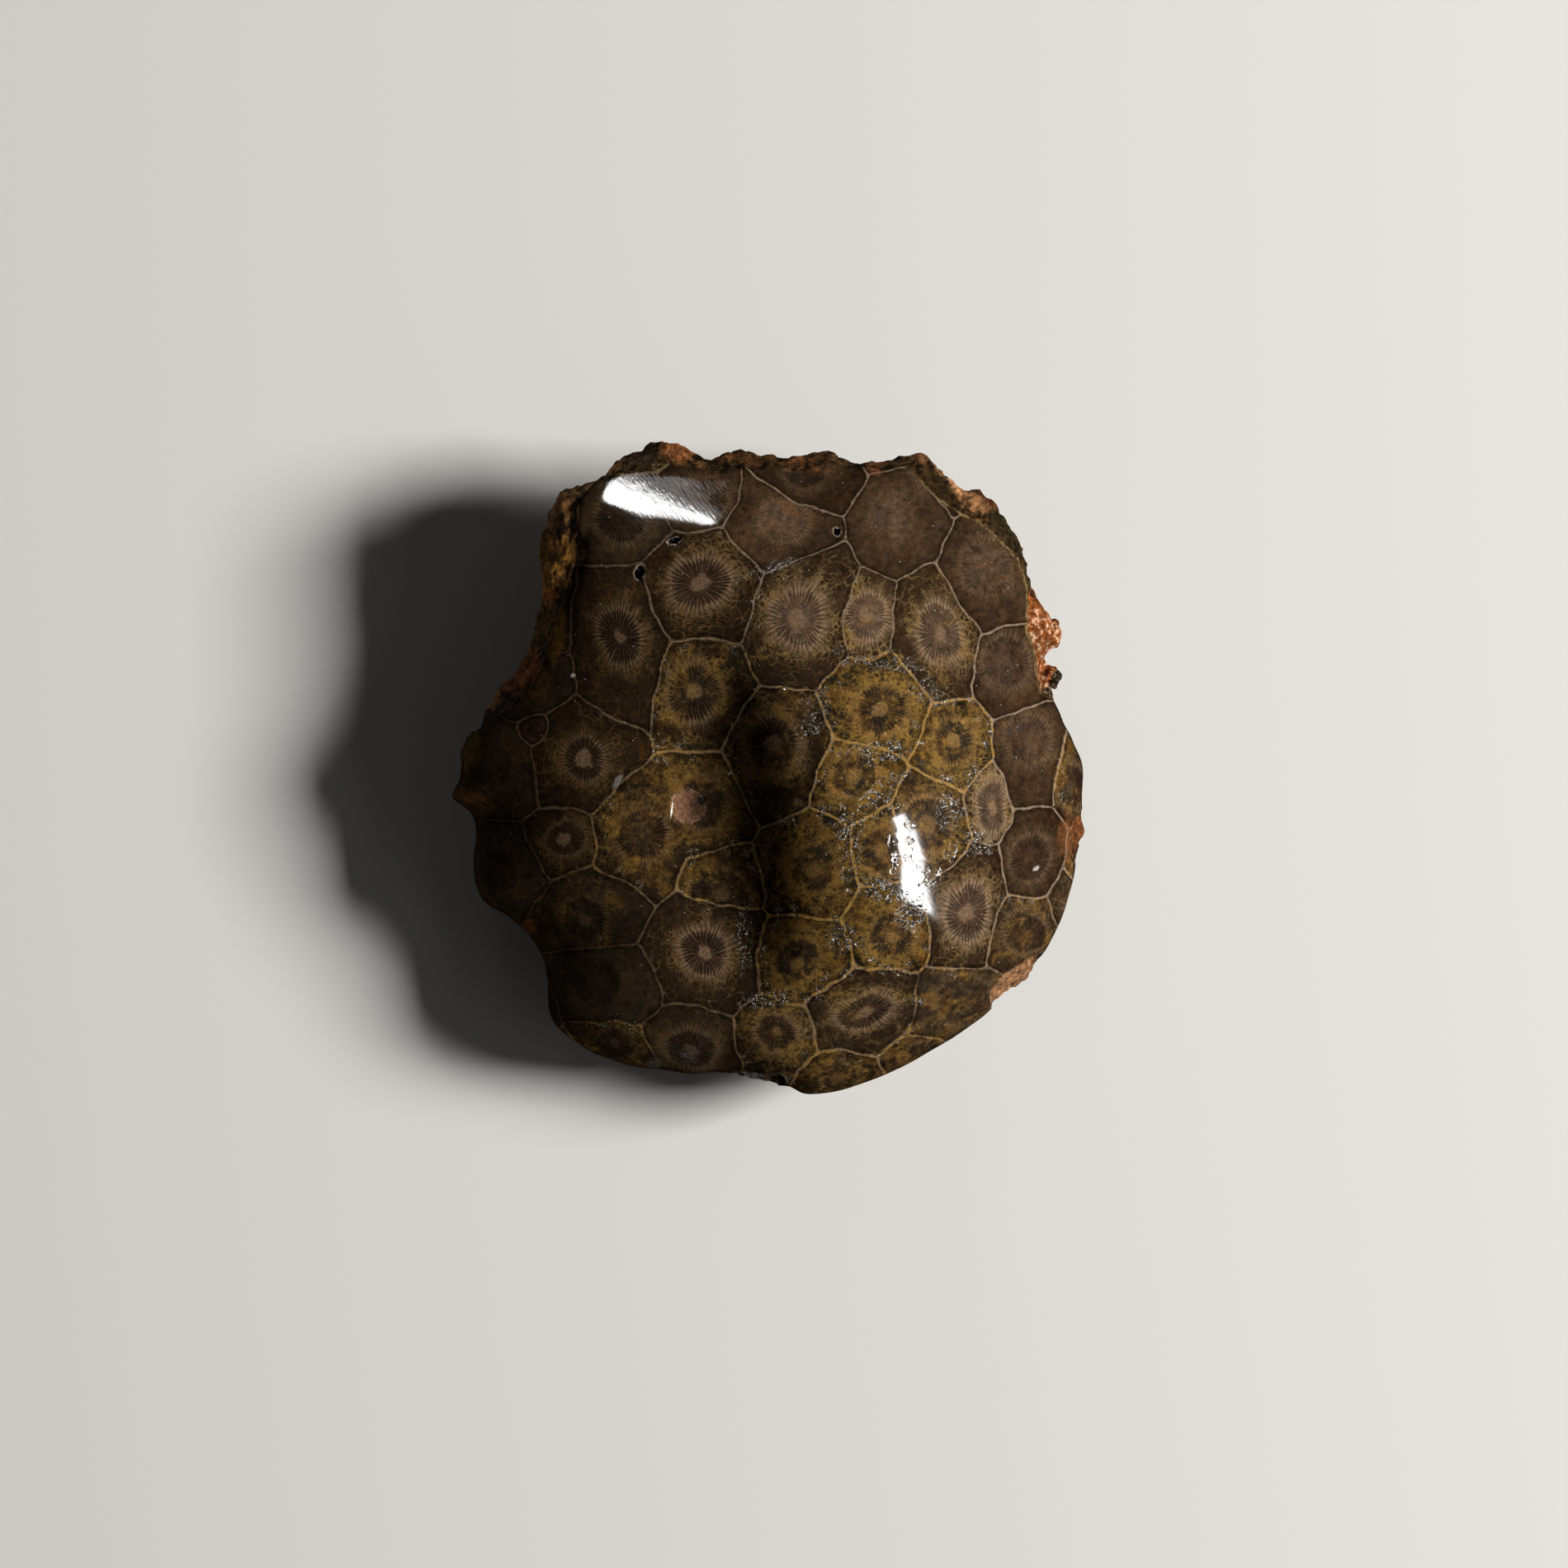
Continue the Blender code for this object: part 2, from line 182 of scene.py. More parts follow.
# The edge of the polish, anticlockwise. Outside the outline it runs down the side of the stone.
polishEdge = [
    (-20.0, 34.6), (-21.5, 33.6), (-23.0, 31.0), (-23.0, 29.0), (-21.8, 26.3), (-21.5, 25.0), (-23.2, 24.0),
    (-23.7, 22.0), (-25.4, 17.0), (-27.0, 12.0), (-28.6, 9.0), (-32.0, 6.5), (-34.3, 4.8), (-36.6, 2.5),
    (-37.2, 0.3), (-38.2, -2.0), (-38.5, -4.6), (-36.5, -6.2), (-38.2, -9.0), (-38.5, -14.0), (-36.0, -18.5),
    (-32.0, -21.5), (-29.5, -25.0), (-30.0, -30.0), (-27.0, -35.0), (-20.0, -38.5), (-11.0, -40.5),
    (-6.5, -38.2), (-5.0, -37.1), (-1.5, -37.0), (1.5, -37.2), (2.6, -39.5), (3.5, -43.0), (8.0, -43.5),
    (14.0, -41.5), (20.0, -38.0), (26.0, -33.5), (27.4, -29.6), (26.8, -27.4), (28.9, -24.9), (32.3, -22.8),
    (36.5, -21.5), (39.0, -21.0), (41.5, -15.0), (39.5, -12.5), (36.9, -11.2), (36.5, -8.5), (37.1, -6.2),
    (41.0, -4.5), (42.0, 0.0), (39.5, 4.0), (36.4, 6.5), (34.6, 8.0), (33.0, 9.0), (32.4, 13.8), (31.4, 16.3),
    (31.6, 21.0), (31.0, 23.5), (30.3, 25.0), (29.0, 26.5), (26.5, 28.8), (22.5, 31.0), (19.5, 33.3),
    (17.8, 35.3), (16.6, 36.0), (14.0, 35.6), (11.0, 36.0), (7.5, 36.2), (3.0, 35.2), (0.0, 35.9),
    (-3.0, 35.9), (-6.0, 35.2), (-10.0, 36.1), (-14.8, 36.4),
]


# The widest line is measured in steps round the stone, and evened out over some steps to each side.
roundStep = 3  # degrees
evenedSteps = 5
sideStretch = 1.3  # how fast the drawing of the face runs on down the side, below the widest line


def smoothedRound(values, reach):
    # evens out a list that goes round in a circle
    return sum(np.roll(values, shift) for shift in range(-reach, reach + 1)) / (2 * reach + 1)


def widestLine(places):
    # at what height the stone is widest, for each step round it
    angles = np.degrees(np.arctan2(places[:, 1], places[:, 0])) % 360
    outwards = np.hypot(places[:, 0], places[:, 1])
    steps = (angles // roundStep).astype(int)
    furthest = []
    for step in range(360 // roundStep):
        there = np.flatnonzero(steps == step)
        furthest.append(there[np.argmax(outwards[there])])
    return smoothedRound(places[furthest, 2], evenedSteps)


def facePlaces(places, heights):
    # places on the face in its own millimetres; past the widest line they are carried on down the side
    flat = places[:, :2] + faceMiddle
    angles = np.degrees(np.arctan2(places[:, 1], places[:, 0])) % 360
    stepMiddles = np.arange(len(heights)) * roundStep + roundStep / 2
    widest = np.interp(angles, stepMiddles, heights, period=360)
    below = np.maximum(0, widest - places[:, 2])
    outward = flat / np.linalg.norm(flat, axis=1)[:, None]
    return flat + outward * sideStretch * below[:, None]


def insidePolish(flat):
    # millimetres inside the edge of the polish, negative outside it
    corners = np.array(polishEdge)
    nearest = np.full(len(flat), np.inf)
    inside = np.zeros(len(flat), bool)
    for (x1, y1), (x2, y2) in zip(corners, np.roll(corners, -1, axis=0)):
        along = np.array([x2 - x1, y2 - y1])
        offset = flat - (x1, y1)
        share = np.clip(offset @ along / (along @ along), 0, 1)
        nearest = np.minimum(nearest, np.linalg.norm(offset - share[:, None] * along, axis=1))
        crosses = (y1 > flat[:, 1]) != (y2 > flat[:, 1])
        with np.errstate(divide="ignore", invalid="ignore"):
            inside ^= crosses & (flat[:, 0] < x1 + (flat[:, 1] - y1) * (x2 - x1) / (y2 - y1))
    return np.where(inside, nearest, -nearest)


def guessedCells():
    # cells of no known place, down the sides and over the underside
    chance = random.Random(cells["seed"])
    radius, gap, straying = cells["ringRadius"], cells["spacing"], cells["straying"]
    directions = np.radians(np.arange(0, 360, cells["ringStep"]))
    spots = [(math.cos(a) * radius, math.sin(a) * radius) for a in directions]
    steps = range(-cells["rowsEachWay"], cells["rowsEachWay"] + 1)
    for i in steps:
        for j in steps:
            spots.append((cells["baseOffset"] + (i + j % 2 / 2) * gap, j * gap * cells["rowSpacing"]))
    rows = []
    for x, y in spots:
        x += chance.uniform(-straying, straying)
        y += chance.uniform(-straying, straying)
        wide = chance.uniform(*cells["halfSizes"])
        tall = chance.uniform(*cells["halfSizes"])
        stain = chance.uniform(0, cells["guessedStain"])
        rows.append((x, y, wide, tall, 0, x, y, wide / 2, tall / 2, cells["guessedMiddle"],
                     cells["guessedClearness"], stain, cells["guessedTone"]))
    return rows


def acrossAndUp(flat, x, y, lean):
    # places as seen from the middle of a leaning oval, along its width and along its height
    turn = np.radians(lean)
    across = (flat[:, 0] - x) * np.cos(turn) + (flat[:, 1] - y) * np.sin(turn)
    up = (flat[:, 1] - y) * np.cos(turn) - (flat[:, 0] - x) * np.sin(turn)
    return across, up


def cellDistance(flat, row):
    # how far places are from a cell's middle, in half cells, and the slope of that
    turn = math.radians(row[4])
    across, up = acrossAndUp(flat, row[0], row[1], row[4])
    distance = np.hypot(across / row[2], up / row[3]) + 1e-9  # so that it is never divided by nought
    slopeAcross = across / row[2] ** 2 / distance
    slopeUp = up / row[3] ** 2 / distance
    slope = np.stack([
        slopeAcross * math.cos(turn) - slopeUp * math.sin(turn),
        slopeAcross * math.sin(turn) + slopeUp * math.cos(turn),
    ], axis=1)
    return distance.astype(np.float32), slope.astype(np.float32)


def wavered(flat):
    # shifts places a little, so that the walls between cells aren't straight; without a seed of its own
    # noise_vector would start from the clock
    noise.seed_set(cells["seed"])
    shifts = np.zeros_like(flat)
    for spacing, size in cells["waver"]:
        for row, (x, y) in enumerate(flat):
            shift = noise.noise_vector(Vector((x, y, cells["waverLevel"])) / spacing)
            shifts[row] += (shift.x * size, shift.y * size)
    return flat + shifts


def wallsAndEyes(flat, faceOfCorner, faceMiddles):
    # for each face corner: where it is in its own cell's eye, how far the wall is, and which row it is in
    rows = np.array(cellRows + guessedCells())
    atMiddles = np.stack([cellDistance(faceMiddles, row)[0] for row in rows], axis=1)
    ownOfFace = np.argmin(atMiddles, axis=1)
    own = ownOfFace[faceOfCorner]
    ownDistance = np.zeros(len(flat), np.float32)
    ownSlope = np.zeros((len(flat), 2), np.float32)
    nextDistance = np.full(len(flat), np.inf, np.float32)
    nextSlope = np.zeros((len(flat), 2), np.float32)
    for number, row in enumerate(rows):
        distance, slope = cellDistance(flat, row)
        mine = own == number
        ownDistance[mine] = distance[mine]
        ownSlope[mine] = slope[mine]
        twin = np.isin(own, twinEyes) & (number in twinEyes)
        closer = ~mine & ~twin & (distance < nextDistance)
        nextDistance[closer] = distance[closer]
        nextSlope[closer] = slope[closer]
    steepness = np.linalg.norm(nextSlope - ownSlope, axis=1)
    wall = (nextDistance - ownDistance) / np.maximum(steepness, 1e-6)
    row = rows[own]
    across, up = acrossAndUp(flat, row[:, 5], row[:, 6], row[:, 4])
    return np.stack([across / row[:, 7], up / row[:, 8], wall], axis=1), row, own


stone = {
    "levels": 2,  # of subdivision
    "ledge": 0.35,  # step down from the polish to the crust, over the model's own
    "ledgeRun": (-0.35, 0.15),  # how far outside and inside the edge of the polish that step begins and ends
    "ledgeWaver": (1.3, 0.7),  # spacing and size of the step's bends
    "crumbs": [(2.1, 0.5), (1.0, 0.36), (0.55, 0.2)],  # spacing and height of the crust's grain
    "crumbStart": (4.1, 0.7, 9.3),  # the place in the noise that the grain is read from
    "flatSpot": 0.05,  # below this height is the flat spot that it rests on, which stays as it is
    "margin": 0.002,  # how far the surface keeps inside the model's box
    # where a face counts as the underside: how its normal leans, and below what height
    "undersideLean": -0.5, "undersideHeight": 12,
    "farOutside": -10.0,  # stands for the distance to the polish on the underside
    "patch": (-9.3, -4.8, 2.0, 0.35),  # the round unpolished patch: x, y, radius, depth
    "patchRim": (0.35, 0.15),  # how far inside and outside the radius its rim runs
    "patchSlope": (-0.6, 1.2),  # from its middle to the right, where it is sunk fully and not at all
    # the long facet at the top left corner: its middle, its lean, its slopes along and across, how much it
    # bends across and how fast that grows along it, and how far it reaches along and across
    "facet": {
        "middle": (-13.3, 31.7), "lean": -19, "slopes": (0.243, -0.324), "bend": 0.042, "taper": 0.13,
        "reach": (9.5, 3.6),
        "fade": (0.6, 1.5),  # in reaches, where it begins to fade and where it is gone
        "steepest": 0.2,  # only faces whose normal rises at least this much are ground
    },
    "pits": [
        # x, y, half width, half length, depth, turn in degrees
        (-15.2, 23.2, 0.55, 0.85, 1.0, -15),
        (-11.0, 27.0, 0.75, 0.35, 0.8, 12),
        (8.5, 28.1, 0.42, 0.5, 0.8, 0),
        (1.3, -38.2, 1.1, 1.0, 2.0, 0),
    ],
    "pitLumps": (1.7, 0.5),  # waves across the pit and how far they push its side in or out
    "aboveStone": 0.1,  # metres, from where the top of each pit is looked for
}


def copyOfNode(name):
    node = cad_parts[name]
    piece = bpy.data.objects.new("polishedStone", node.data.copy())
    bpy.context.scene.collection.objects.link(piece)
    selectOnly(piece)
    bpy.ops.object.mode_set(mode="EDIT")
    bpy.ops.mesh.select_all(action="SELECT")
    bpy.ops.mesh.remove_doubles(threshold=0.001 * mm)
    bpy.ops.mesh.tris_convert_to_quads(face_threshold=math.pi, shape_threshold=math.pi)
    bpy.ops.object.mode_set(mode="OBJECT")
    finer = piece.modifiers.new("finer", "SUBSURF")
    finer.levels = finer.render_levels = stone["levels"]
    bpy.ops.object.modifier_apply(modifier=finer.name)
    return piece


def vertexPlaces(mesh):
    places = np.zeros(len(mesh.vertices) * 3)
    mesh.vertices.foreach_get("co", places)
    return places.reshape(-1, 3) / mm


def vertexNormals(mesh):
    normals = np.zeros(len(mesh.vertices) * 3, np.float32)
    mesh.vertex_normals.foreach_get("vector", normals)
    return normals.reshape(-1, 3)


def grindFacet(places, normals):
    # turns the rounded corner of the polish into one long facet, which holds a bar of light
    facet = stone["facet"]
    along, across = acrossAndUp(places[:, :2] + faceMiddle, *facet["middle"], facet["lean"])
    upper = normals[:, 2] > facet["steepest"]
    start = places[np.argmin(np.where(upper, np.hypot(along, across), np.inf)), 2]
    slopeAlong, slopeAcross = facet["slopes"]
    bend = facet["bend"] * np.exp(facet["taper"] * along)
    target = start + slopeAlong * along + slopeAcross * across - bend / 2 * across ** 2
    share = upper.astype(float)
    begins, gone = facet["fade"]
    for distance, reach in zip((along, across), facet["reach"]):
        share *= 1 - smoothStep(reach * begins, reach * gone, abs(distance))
    places[:, 2] += share * (target - places[:, 2])


def sunkPatch(flat):
    # how deep the round unpolished patch is sunk, most at its left
    x, y, radius, depth = stone["patch"]
    inner, outer = stone["patchRim"]
    fromMiddle = np.hypot(flat[:, 0] - x, flat[:, 1] - y)
    sunk = depth * (1 - smoothStep(radius - inner, radius + outer, fromMiddle))
    fully, none = stone["patchSlope"]
    return sunk * smoothStep(none, fully, flat[:, 0] - x)


def roughenCrust(piece, heights):
    # breaks the unpolished skin into grains, and leaves a small ledge where the polish ends
    mesh = piece.data
    places = vertexPlaces(mesh)
    grindFacet(places, vertexNormals(mesh))
    mesh.vertices.foreach_set("co", (places * mm).ravel())
    mesh.update()
    normals = vertexNormals(mesh)
    flat = facePlaces(places, heights)
    underneath = normals[:, 2] < stone["undersideLean"]
    polish = np.where(underneath, stone["farOutside"], insidePolish(flat))
    spacing, size = stone["ledgeWaver"]
    waver = np.array([noise.noise(Vector(p) / spacing) for p in places]) * size
    crust = 1 - smoothStep(*stone["ledgeRun"], polish + waver)
    rise = np.full(len(places), -stone["ledge"])
    start = Vector(stone["crumbStart"])
    for spacing, height in stone["crumbs"]:
        rise += height * np.array([noise.noise(Vector(p) / spacing + start) for p in places])
    onFlatSpot = places[:, 2] < stone["flatSpot"]
    rise = np.where(onFlatSpot, 0, crust * rise) - sunkPatch(flat)
    places += normals * rise[:, None]
    low, high = np.array(cadBox[0]) / mm, np.array(cadBox[1]) / mm
    places = np.clip(places, low + stone["margin"], high - stone["margin"])
    mesh.vertices.foreach_set("co", (places * mm).ravel())
    mesh.update()


def cutPits(piece):
    # small open holes left by the coral, each cut with a lumpy ball
    waves, push = stone["pitLumps"]
    for x, y, wide, long, deep, turn in stone["pits"]:
        start = Vector(((x - faceMiddle[0]) * mm, (y - faceMiddle[1]) * mm, stone["aboveStone"]))
        top = piece.ray_cast(start, Vector((0, 0, -1)))[1]
        bpy.ops.mesh.primitive_ico_sphere_add(subdivisions=3, radius=1, location=top)
        cutter = bpy.context.object
        selectOnly(cutter)
        cutter.rotation_euler.z = math.radians(turn)
        cutter.scale = (wide * mm, long * mm, deep * mm)
        for vertex in cutter.data.vertices:
            vertex.co *= 1 + push * noise.noise(vertex.co * waves + Vector((x, y, 0)))
        bpy.ops.object.transform_apply(location=True, rotation=True, scale=True)
        selectOnly(piece)
        cut = piece.modifiers.new("pit", "BOOLEAN")
        cut.operation = "DIFFERENCE"
        cut.object = cutter
        bpy.ops.object.modifier_apply(modifier=cut.name)
        bpy.data.objects.remove(cutter)


def cornersOf(mesh):
    # the vertex that each face corner is at
    corners = np.zeros(len(mesh.loops), np.int32)
    mesh.loops.foreach_get("vertex_index", corners)
    return corners


def storeOnCorners(mesh, stored):
    for name, values in stored.items():
        attribute = mesh.attributes.new(name, "FLOAT_VECTOR", "CORNER")
        attribute.data.foreach_set("vector", values.astype(np.float32).ravel())


def storeCells(piece, heights):
    # writes on every face corner what the material needs to draw the cells
    mesh = piece.data
    places = vertexPlaces(mesh)
    corners = cornersOf(mesh)
    counts = np.zeros(len(mesh.polygons), np.int32)
    mesh.polygons.foreach_get("loop_total", counts)
    faceOfCorner = np.repeat(np.arange(len(counts)), counts)
    faceNormals = np.zeros(len(counts) * 3)
    mesh.polygons.foreach_get("normal", faceNormals)
    flat = facePlaces(places, heights)
    cornerFlat = wavered(flat)[corners]
    cornerPolish = insidePolish(flat)[corners]
    faceHeights = np.zeros(len(counts))
    np.add.at(faceHeights, faceOfCorner, places[corners, 2])
    leansUnder = faceNormals.reshape(-1, 3)[:, 2] < stone["undersideLean"]
    underneath = leansUnder & (faceHeights / counts < stone["undersideHeight"])
    below = underneath[faceOfCorner]
    cornerFlat[below] = places[corners[below], :2] * (-1, 1) + (cells["baseOffset"], 0)
    cornerPolish[below] = stone["farOutside"]
    middles = np.zeros((len(counts), 2))
    np.add.at(middles, faceOfCorner, cornerFlat)
    middles /= counts[:, None]
    eyes, row, own = wallsAndEyes(cornerFlat, faceOfCorner, middles)
    eyeSize = np.sqrt(row[:, 7] * row[:, 8])
    stored = {
        "eyePlace": eyes,
        "cellLook": row[:, 10:13],
        "cellSize": np.stack([eyeSize, row[:, 9], own * cells["chanceStep"] % 1], axis=1),
        "facePlace": np.column_stack([flat[corners], cornerPolish]),
    }
    storeOnCorners(mesh, stored)


# Fossil coral limestone, ground and polished: dense calcite with a soft waxy gloss that shows the coral
# like ink in the stone. Where it wasn't ground it keeps a dull, crumbly, iron-stained skin.
look = {
    "gloss": 0.07,  # roughness of the polish
    "glossSpread": (0.8, 1.3),  # how far that varies
    "crustRoughness": 0.95,
    "specular": 0.5, "crustSpecular": 0.12,  # level; the crumbs of the crust shade one another
    "ior": 1.55,  # calcite's lies between 1.49 and 1.66
    "wallHalves": (0.066, 0.186),  # half a wall's width in millimetres, where it is thin and where thick
    "laceScale": 1.2, "threadScale": 0.62,  # bubbles of the net in a millimetre, small ones and large ones
    # the stone between the lines, plain, in smoky cells and in charcoal ones, then the same inside the eyes
    "ground": "#2a1d13", "groundSmoky": "#3b2c1f", "groundCharcoal": "#33291e",
    "eyeGround": "#281c14", "eyeSmoky": "#5f4c3c", "eyeCharcoal": "#2b2119", "eyeStained": "#2c251c",
    # the lines of the coral, on the right of the face and on its darker left
    "line": "#8f7861", "lineLeft": "#6c563e",
    "ring": "#745c42", "ringLeft": "#4d3a25",
    "net": "#765f3c", "netLeft": "#5c4526",
    "wall": "#8c7764", "wallLeft": "#6b563f",
    "middle": "#7a614a",
    "hollow": "#20160d", "hollowStained": "#25231a",  # inside the bubbles of the net
    # where the stone is stained ochre
    "stainGround": "#5a411e", "stainDark": "#20180e", "stainBright": "#866428",
    "stainLine": "#82622c", "stainWall": "#997640",
    # the pale rim of the pits, then near black for painted shade inside them
    "pitRim": "#7a6c59", "pit": "#0d0b08", "crystalAndGlint": "#f2ede4",
    "crustLight": "#634524", "crustDark": "#1d150c", "fleck": "#c0a488", "seam": "#7d6840",
    "raggedMark": 1.8, "raggedPit": 0.6,  # how broken the edges of marks and pits are
    # one soft oval each: x, y, half width, half height, lean in degrees, softness, how broken its edge is
    "fleckPlace": (33.6, 14.5, 3.0, 5.5, 0, 0.6, 0.6),  # pale flecks in the crust
    "seamPlace": (27.0, 22.0, 11.0, 15.0, 30, 0.4, 0.3),  # the pale seam where the polish ends
    "brushedPlace": (-10.3, 34.2, 9.0, 3.2, -19, 1.0, 0.4),  # where the strokes of the polishing show most
    "crustEdge": 0.6,  # how far inside the edge of the polish the crust begins to show
    # strokes of the polishing: lean in degrees, width and length of one, their depth and the crumbs' in
    # millimetres
    "strokeLean": -52, "strokeSize": (1.5, 0.3, 1.0), "strokeDepth": 0.02, "crumbDepth": 0.7,
    # distance from the eye's middle in eye radii, half the share of a gap that a long and a short blade
    # take up, how much the blades run together into the ring, and how brightly they show
    "profile": [
        (0.00, 0.08, 0.00, 0.00, 0.40), (0.40, 0.08, 0.00, 0.00, 0.60), (0.62, 0.09, 0.03, 0.00, 0.75),
        (0.82, 0.10, 0.08, 0.05, 0.90), (0.93, 0.12, 0.10, 0.30, 1.00), (1.00, 0.16, 0.14, 0.95, 1.00),
        (1.09, 0.15, 0.13, 0.90, 0.90), (1.18, 0.12, 0.11, 0.50, 0.60), (1.32, 0.10, 0.08, 0.25, 0.30),
        (1.50, 0.00, 0.00, 0.00, 0.00),
    ],
    # small marks on the polished face: x, y, half width, half height, lean in degrees, softness, strength,
    # colour
    "marks": [
        # first the round unpolished patch; then two spots of painted shadow on its right, and a thin painted
        # highlight along its left edge
        (-9.3, -4.8, 2.0, 2.0, 0, 0.15, 0.95, "#9a7054"), (-7.9, -4.6, 1.0, 1.7, 0, 0.8, 0.75, "#3f2c1c"),
        (-7.7, -4.1, 0.6, 0.5, 20, 0.4, 0.9, "#150f0a"), (-11.3, -5.2, 0.08, 1.0, -8, 0.8, 1.0, "#f4f0e8"),
        (-14.85, 1.9, 0.4, 1.1, 5, 0.3, 0.9, "#3e2710"), (-23.2, 10.9, 0.3, 0.24, 0, 0.4, 1.0, "#b8ae9f"),
        (-17.8, -1.8, 0.9, 0.35, 60, 0.6, 0.7, "#807a70"), (32.5, -12.3, 0.42, 0.24, 30, 0.5, 0.9, "#a8a094"),
        (2.7, 30.9, 1.4, 0.8, -40, 0.3, 0.7, "#66462f"),
    ],
    # broad stains of the face: x, y, half width, half height, lean in degrees, colour
    "faceStains": [
        (-13.5, -36.0, 1.0, 0.4, 0, "#55524c"), (5.2, 36.2, 2.4, 0.8, -10, "#6d4526"),
        (-0.5, 37.2, 1.6, 0.6, 0, "#6d4526"), (13.0, 36.0, 0.8, 0.8, 0, "#8a5034"),
        (-28.8, -19.5, 0.8, 1.0, 0, "#7c4a24"), (-35.4, -3.9, 2.4, 0.8, -15, "#7c5226"),
        (-36.0, 2.0, 1.4, 2.6, 0, "#57461f"), (-28.2, 10.6, 1.8, 2.4, 20, "#5f4322"),
        (-31.5, 8.0, 2.2, 1.0, 30, "#6f4c20"), (-25.6, 17.0, 1.3, 4.0, 0, "#7a5420"),
        (-25.4, 22.5, 1.6, 2.6, 0, "#8a5f26"), (36.4, -8.8, 1.2, 2.4, 0, "#6f4526"),
        (-9.3, -35.0, 1.0, 0.6, 0, "#4e4a43"), (-16.0, -26.5, 1.0, 2.6, -20, "#3c3024"),
    ],
    # where the polish is open in fine pores whose white crystal is painted as glints, painted highlights,
    # many of them round the highlight on the dome: x, y, half width, half height, lean in degrees
    "paintedGlints": [
        (12.6, -4.6, 4.0, 1.2, 48), (9.9, -9.5, 1.1, 5.0, 3), (13.6, -14.6, 2.6, 1.0, -20),
        (17.3, -18.0, 1.6, 1.4, 0), (21.8, -5.5, 1.2, 1.8, 0), (14.2, 1.4, 2.6, 1.1, 15),
        (9.0, -20.5, 1.6, 1.6, 0), (18.6, 10.6, 0.6, 2.8, 38), (13.4, 12.2, 2.6, 0.4, -12),
        (25.6, -9.0, 1.6, 1.0, -30), (-0.5, 23.4, 2.0, 0.35, 18), (5.6, 5.2, 1.0, 2.6, -28),
        (0.4, -28.0, 3.0, 1.0, 10), (-2.6, -20.5, 0.9, 3.5, 0),
    ],
    # broad stains of the crust, the same way; on the left they are painted lighter, standing in for light on
    # crust that faces away from the key light
    "crustStainsAndLight": [
        (22.6, 34.6, 0.8, 4.6, 40, "#c08a5c"), (18.6, 38.0, 2.0, 1.4, 0, "#8a5f3e"),
        (21.0, 33.2, 3.4, 1.4, -50, "#3c2c14"), (25.0, 32.0, 2.2, 1.2, -20, "#a5744a"),
        (27.4, 32.0, 2.4, 0.7, -35, "#6f3d1c"), (29.3, 28.6, 1.6, 3.4, 35, "#362a16"),
        (30.5, 22.5, 2.0, 2.0, 0, "#4a371a"),
        (33.4, 15.5, 3.6, 6.0, 0, "#9a5423"), (33.8, 12.6, 1.0, 1.4, 0, "#a59a8f"),
        (35.2, 16.6, 1.0, 1.4, 0, "#948a80"), (35.2, 11.0, 1.3, 1.3, 0, "#2f2613"),
        (33.4, 20.2, 0.5, 1.0, 0, "#1a120c"), (32.6, 18.4, 0.9, 1.6, 0, "#a0481a"),
        (-10.5, 38.6, 2.2, 2.0, 0, "#8c5730"), (-6.0, 38.0, 2.4, 1.2, 0, "#7c4c2a"),
        (-15.0, 37.2, 2.0, 2.0, 0, "#3f3021"), (-2.0, 36.8, 1.6, 1.0, 0, "#5a3a20"),
        (4.0, 37.6, 2.6, 1.6, 0, "#6d4526"), (13.0, 37.2, 1.8, 1.2, 0, "#744a2a"),
        # on the left: iron stains painted lighter, painted light where the crust faces away from the key
        # light
        (-24.8, 24.5, 3.4, 3.6, 0, "#97692f"), (-25.8, 31.0, 2.6, 3.2, 0, "#8a5f38"),
        (-23.4, 33.8, 2.4, 1.6, 0, "#6e5030"), (-26.5, 21.0, 1.6, 2.4, 0, "#a86a2c"),
        (-27.6, 17.0, 2.0, 3.6, 0, "#6a4c20"), (-30.0, 12.0, 3.4, 3.4, -40, "#8a5424"),
        (-33.8, 8.4, 1.6, 1.6, 0, "#b07a30"), (-38.0, -5.0, 0.9, 0.7, 0, "#b0a088"),
        (37.6, -7.5, 3.0, 3.0, 0, "#7a4826"), (39.0, -3.0, 2.0, 2.0, 0, "#5a3f20"),
        (29.5, -27.0, 4.6, 3.0, 45, "#b08058"), (-2.0, -37.4, 1.8, 1.0, 0, "#86807a"),
        (0.6, -38.2, 1.0, 0.8, 0, "#9a6844"), (3.2, -39.0, 1.0, 0.8, 0, "#8f5c1e"),
    ],
}


def deepestSpot(flat, rows):
    # how many millimetres inside the nearest of some ovals each place is, and which of them that is
    depths = []
    for x, y, wide, tall, lean in [row[:5] for row in rows]:
        across, up = acrossAndUp(flat, x, y, lean)
        depths.append((1 - np.hypot(across / wide, up / tall)) * min(wide, tall))
    nearest = np.argmax(depths, axis=0)
    return np.max(depths, axis=0), nearest


def storeStains(piece, heights):
    # writes the broad stains, those of the crust painted lighter on its left, and the places of the painted
    # glints on every face corner
    flat = facePlaces(vertexPlaces(piece.data), heights)[cornersOf(piece.data)]
    faceDepth, faceNearest = deepestSpot(flat, look["faceStains"])
    crustDepth, crustNearest = deepestSpot(flat, look["crustStainsAndLight"])
    glintDepth = deepestSpot(flat, look["paintedGlints"])[0]
    stored = {
        "stainDepths": np.column_stack([faceDepth, crustDepth, glintDepth]),
        "faceStain": np.array([linear(row[5])[:3] for row in look["faceStains"]])[faceNearest],
        "crustStainAndLight": np.array([linear(row[5])[:3] for row in look["crustStainsAndLight"]])[crustNearest],
    }
    storeOnCorners(piece.data, stored)


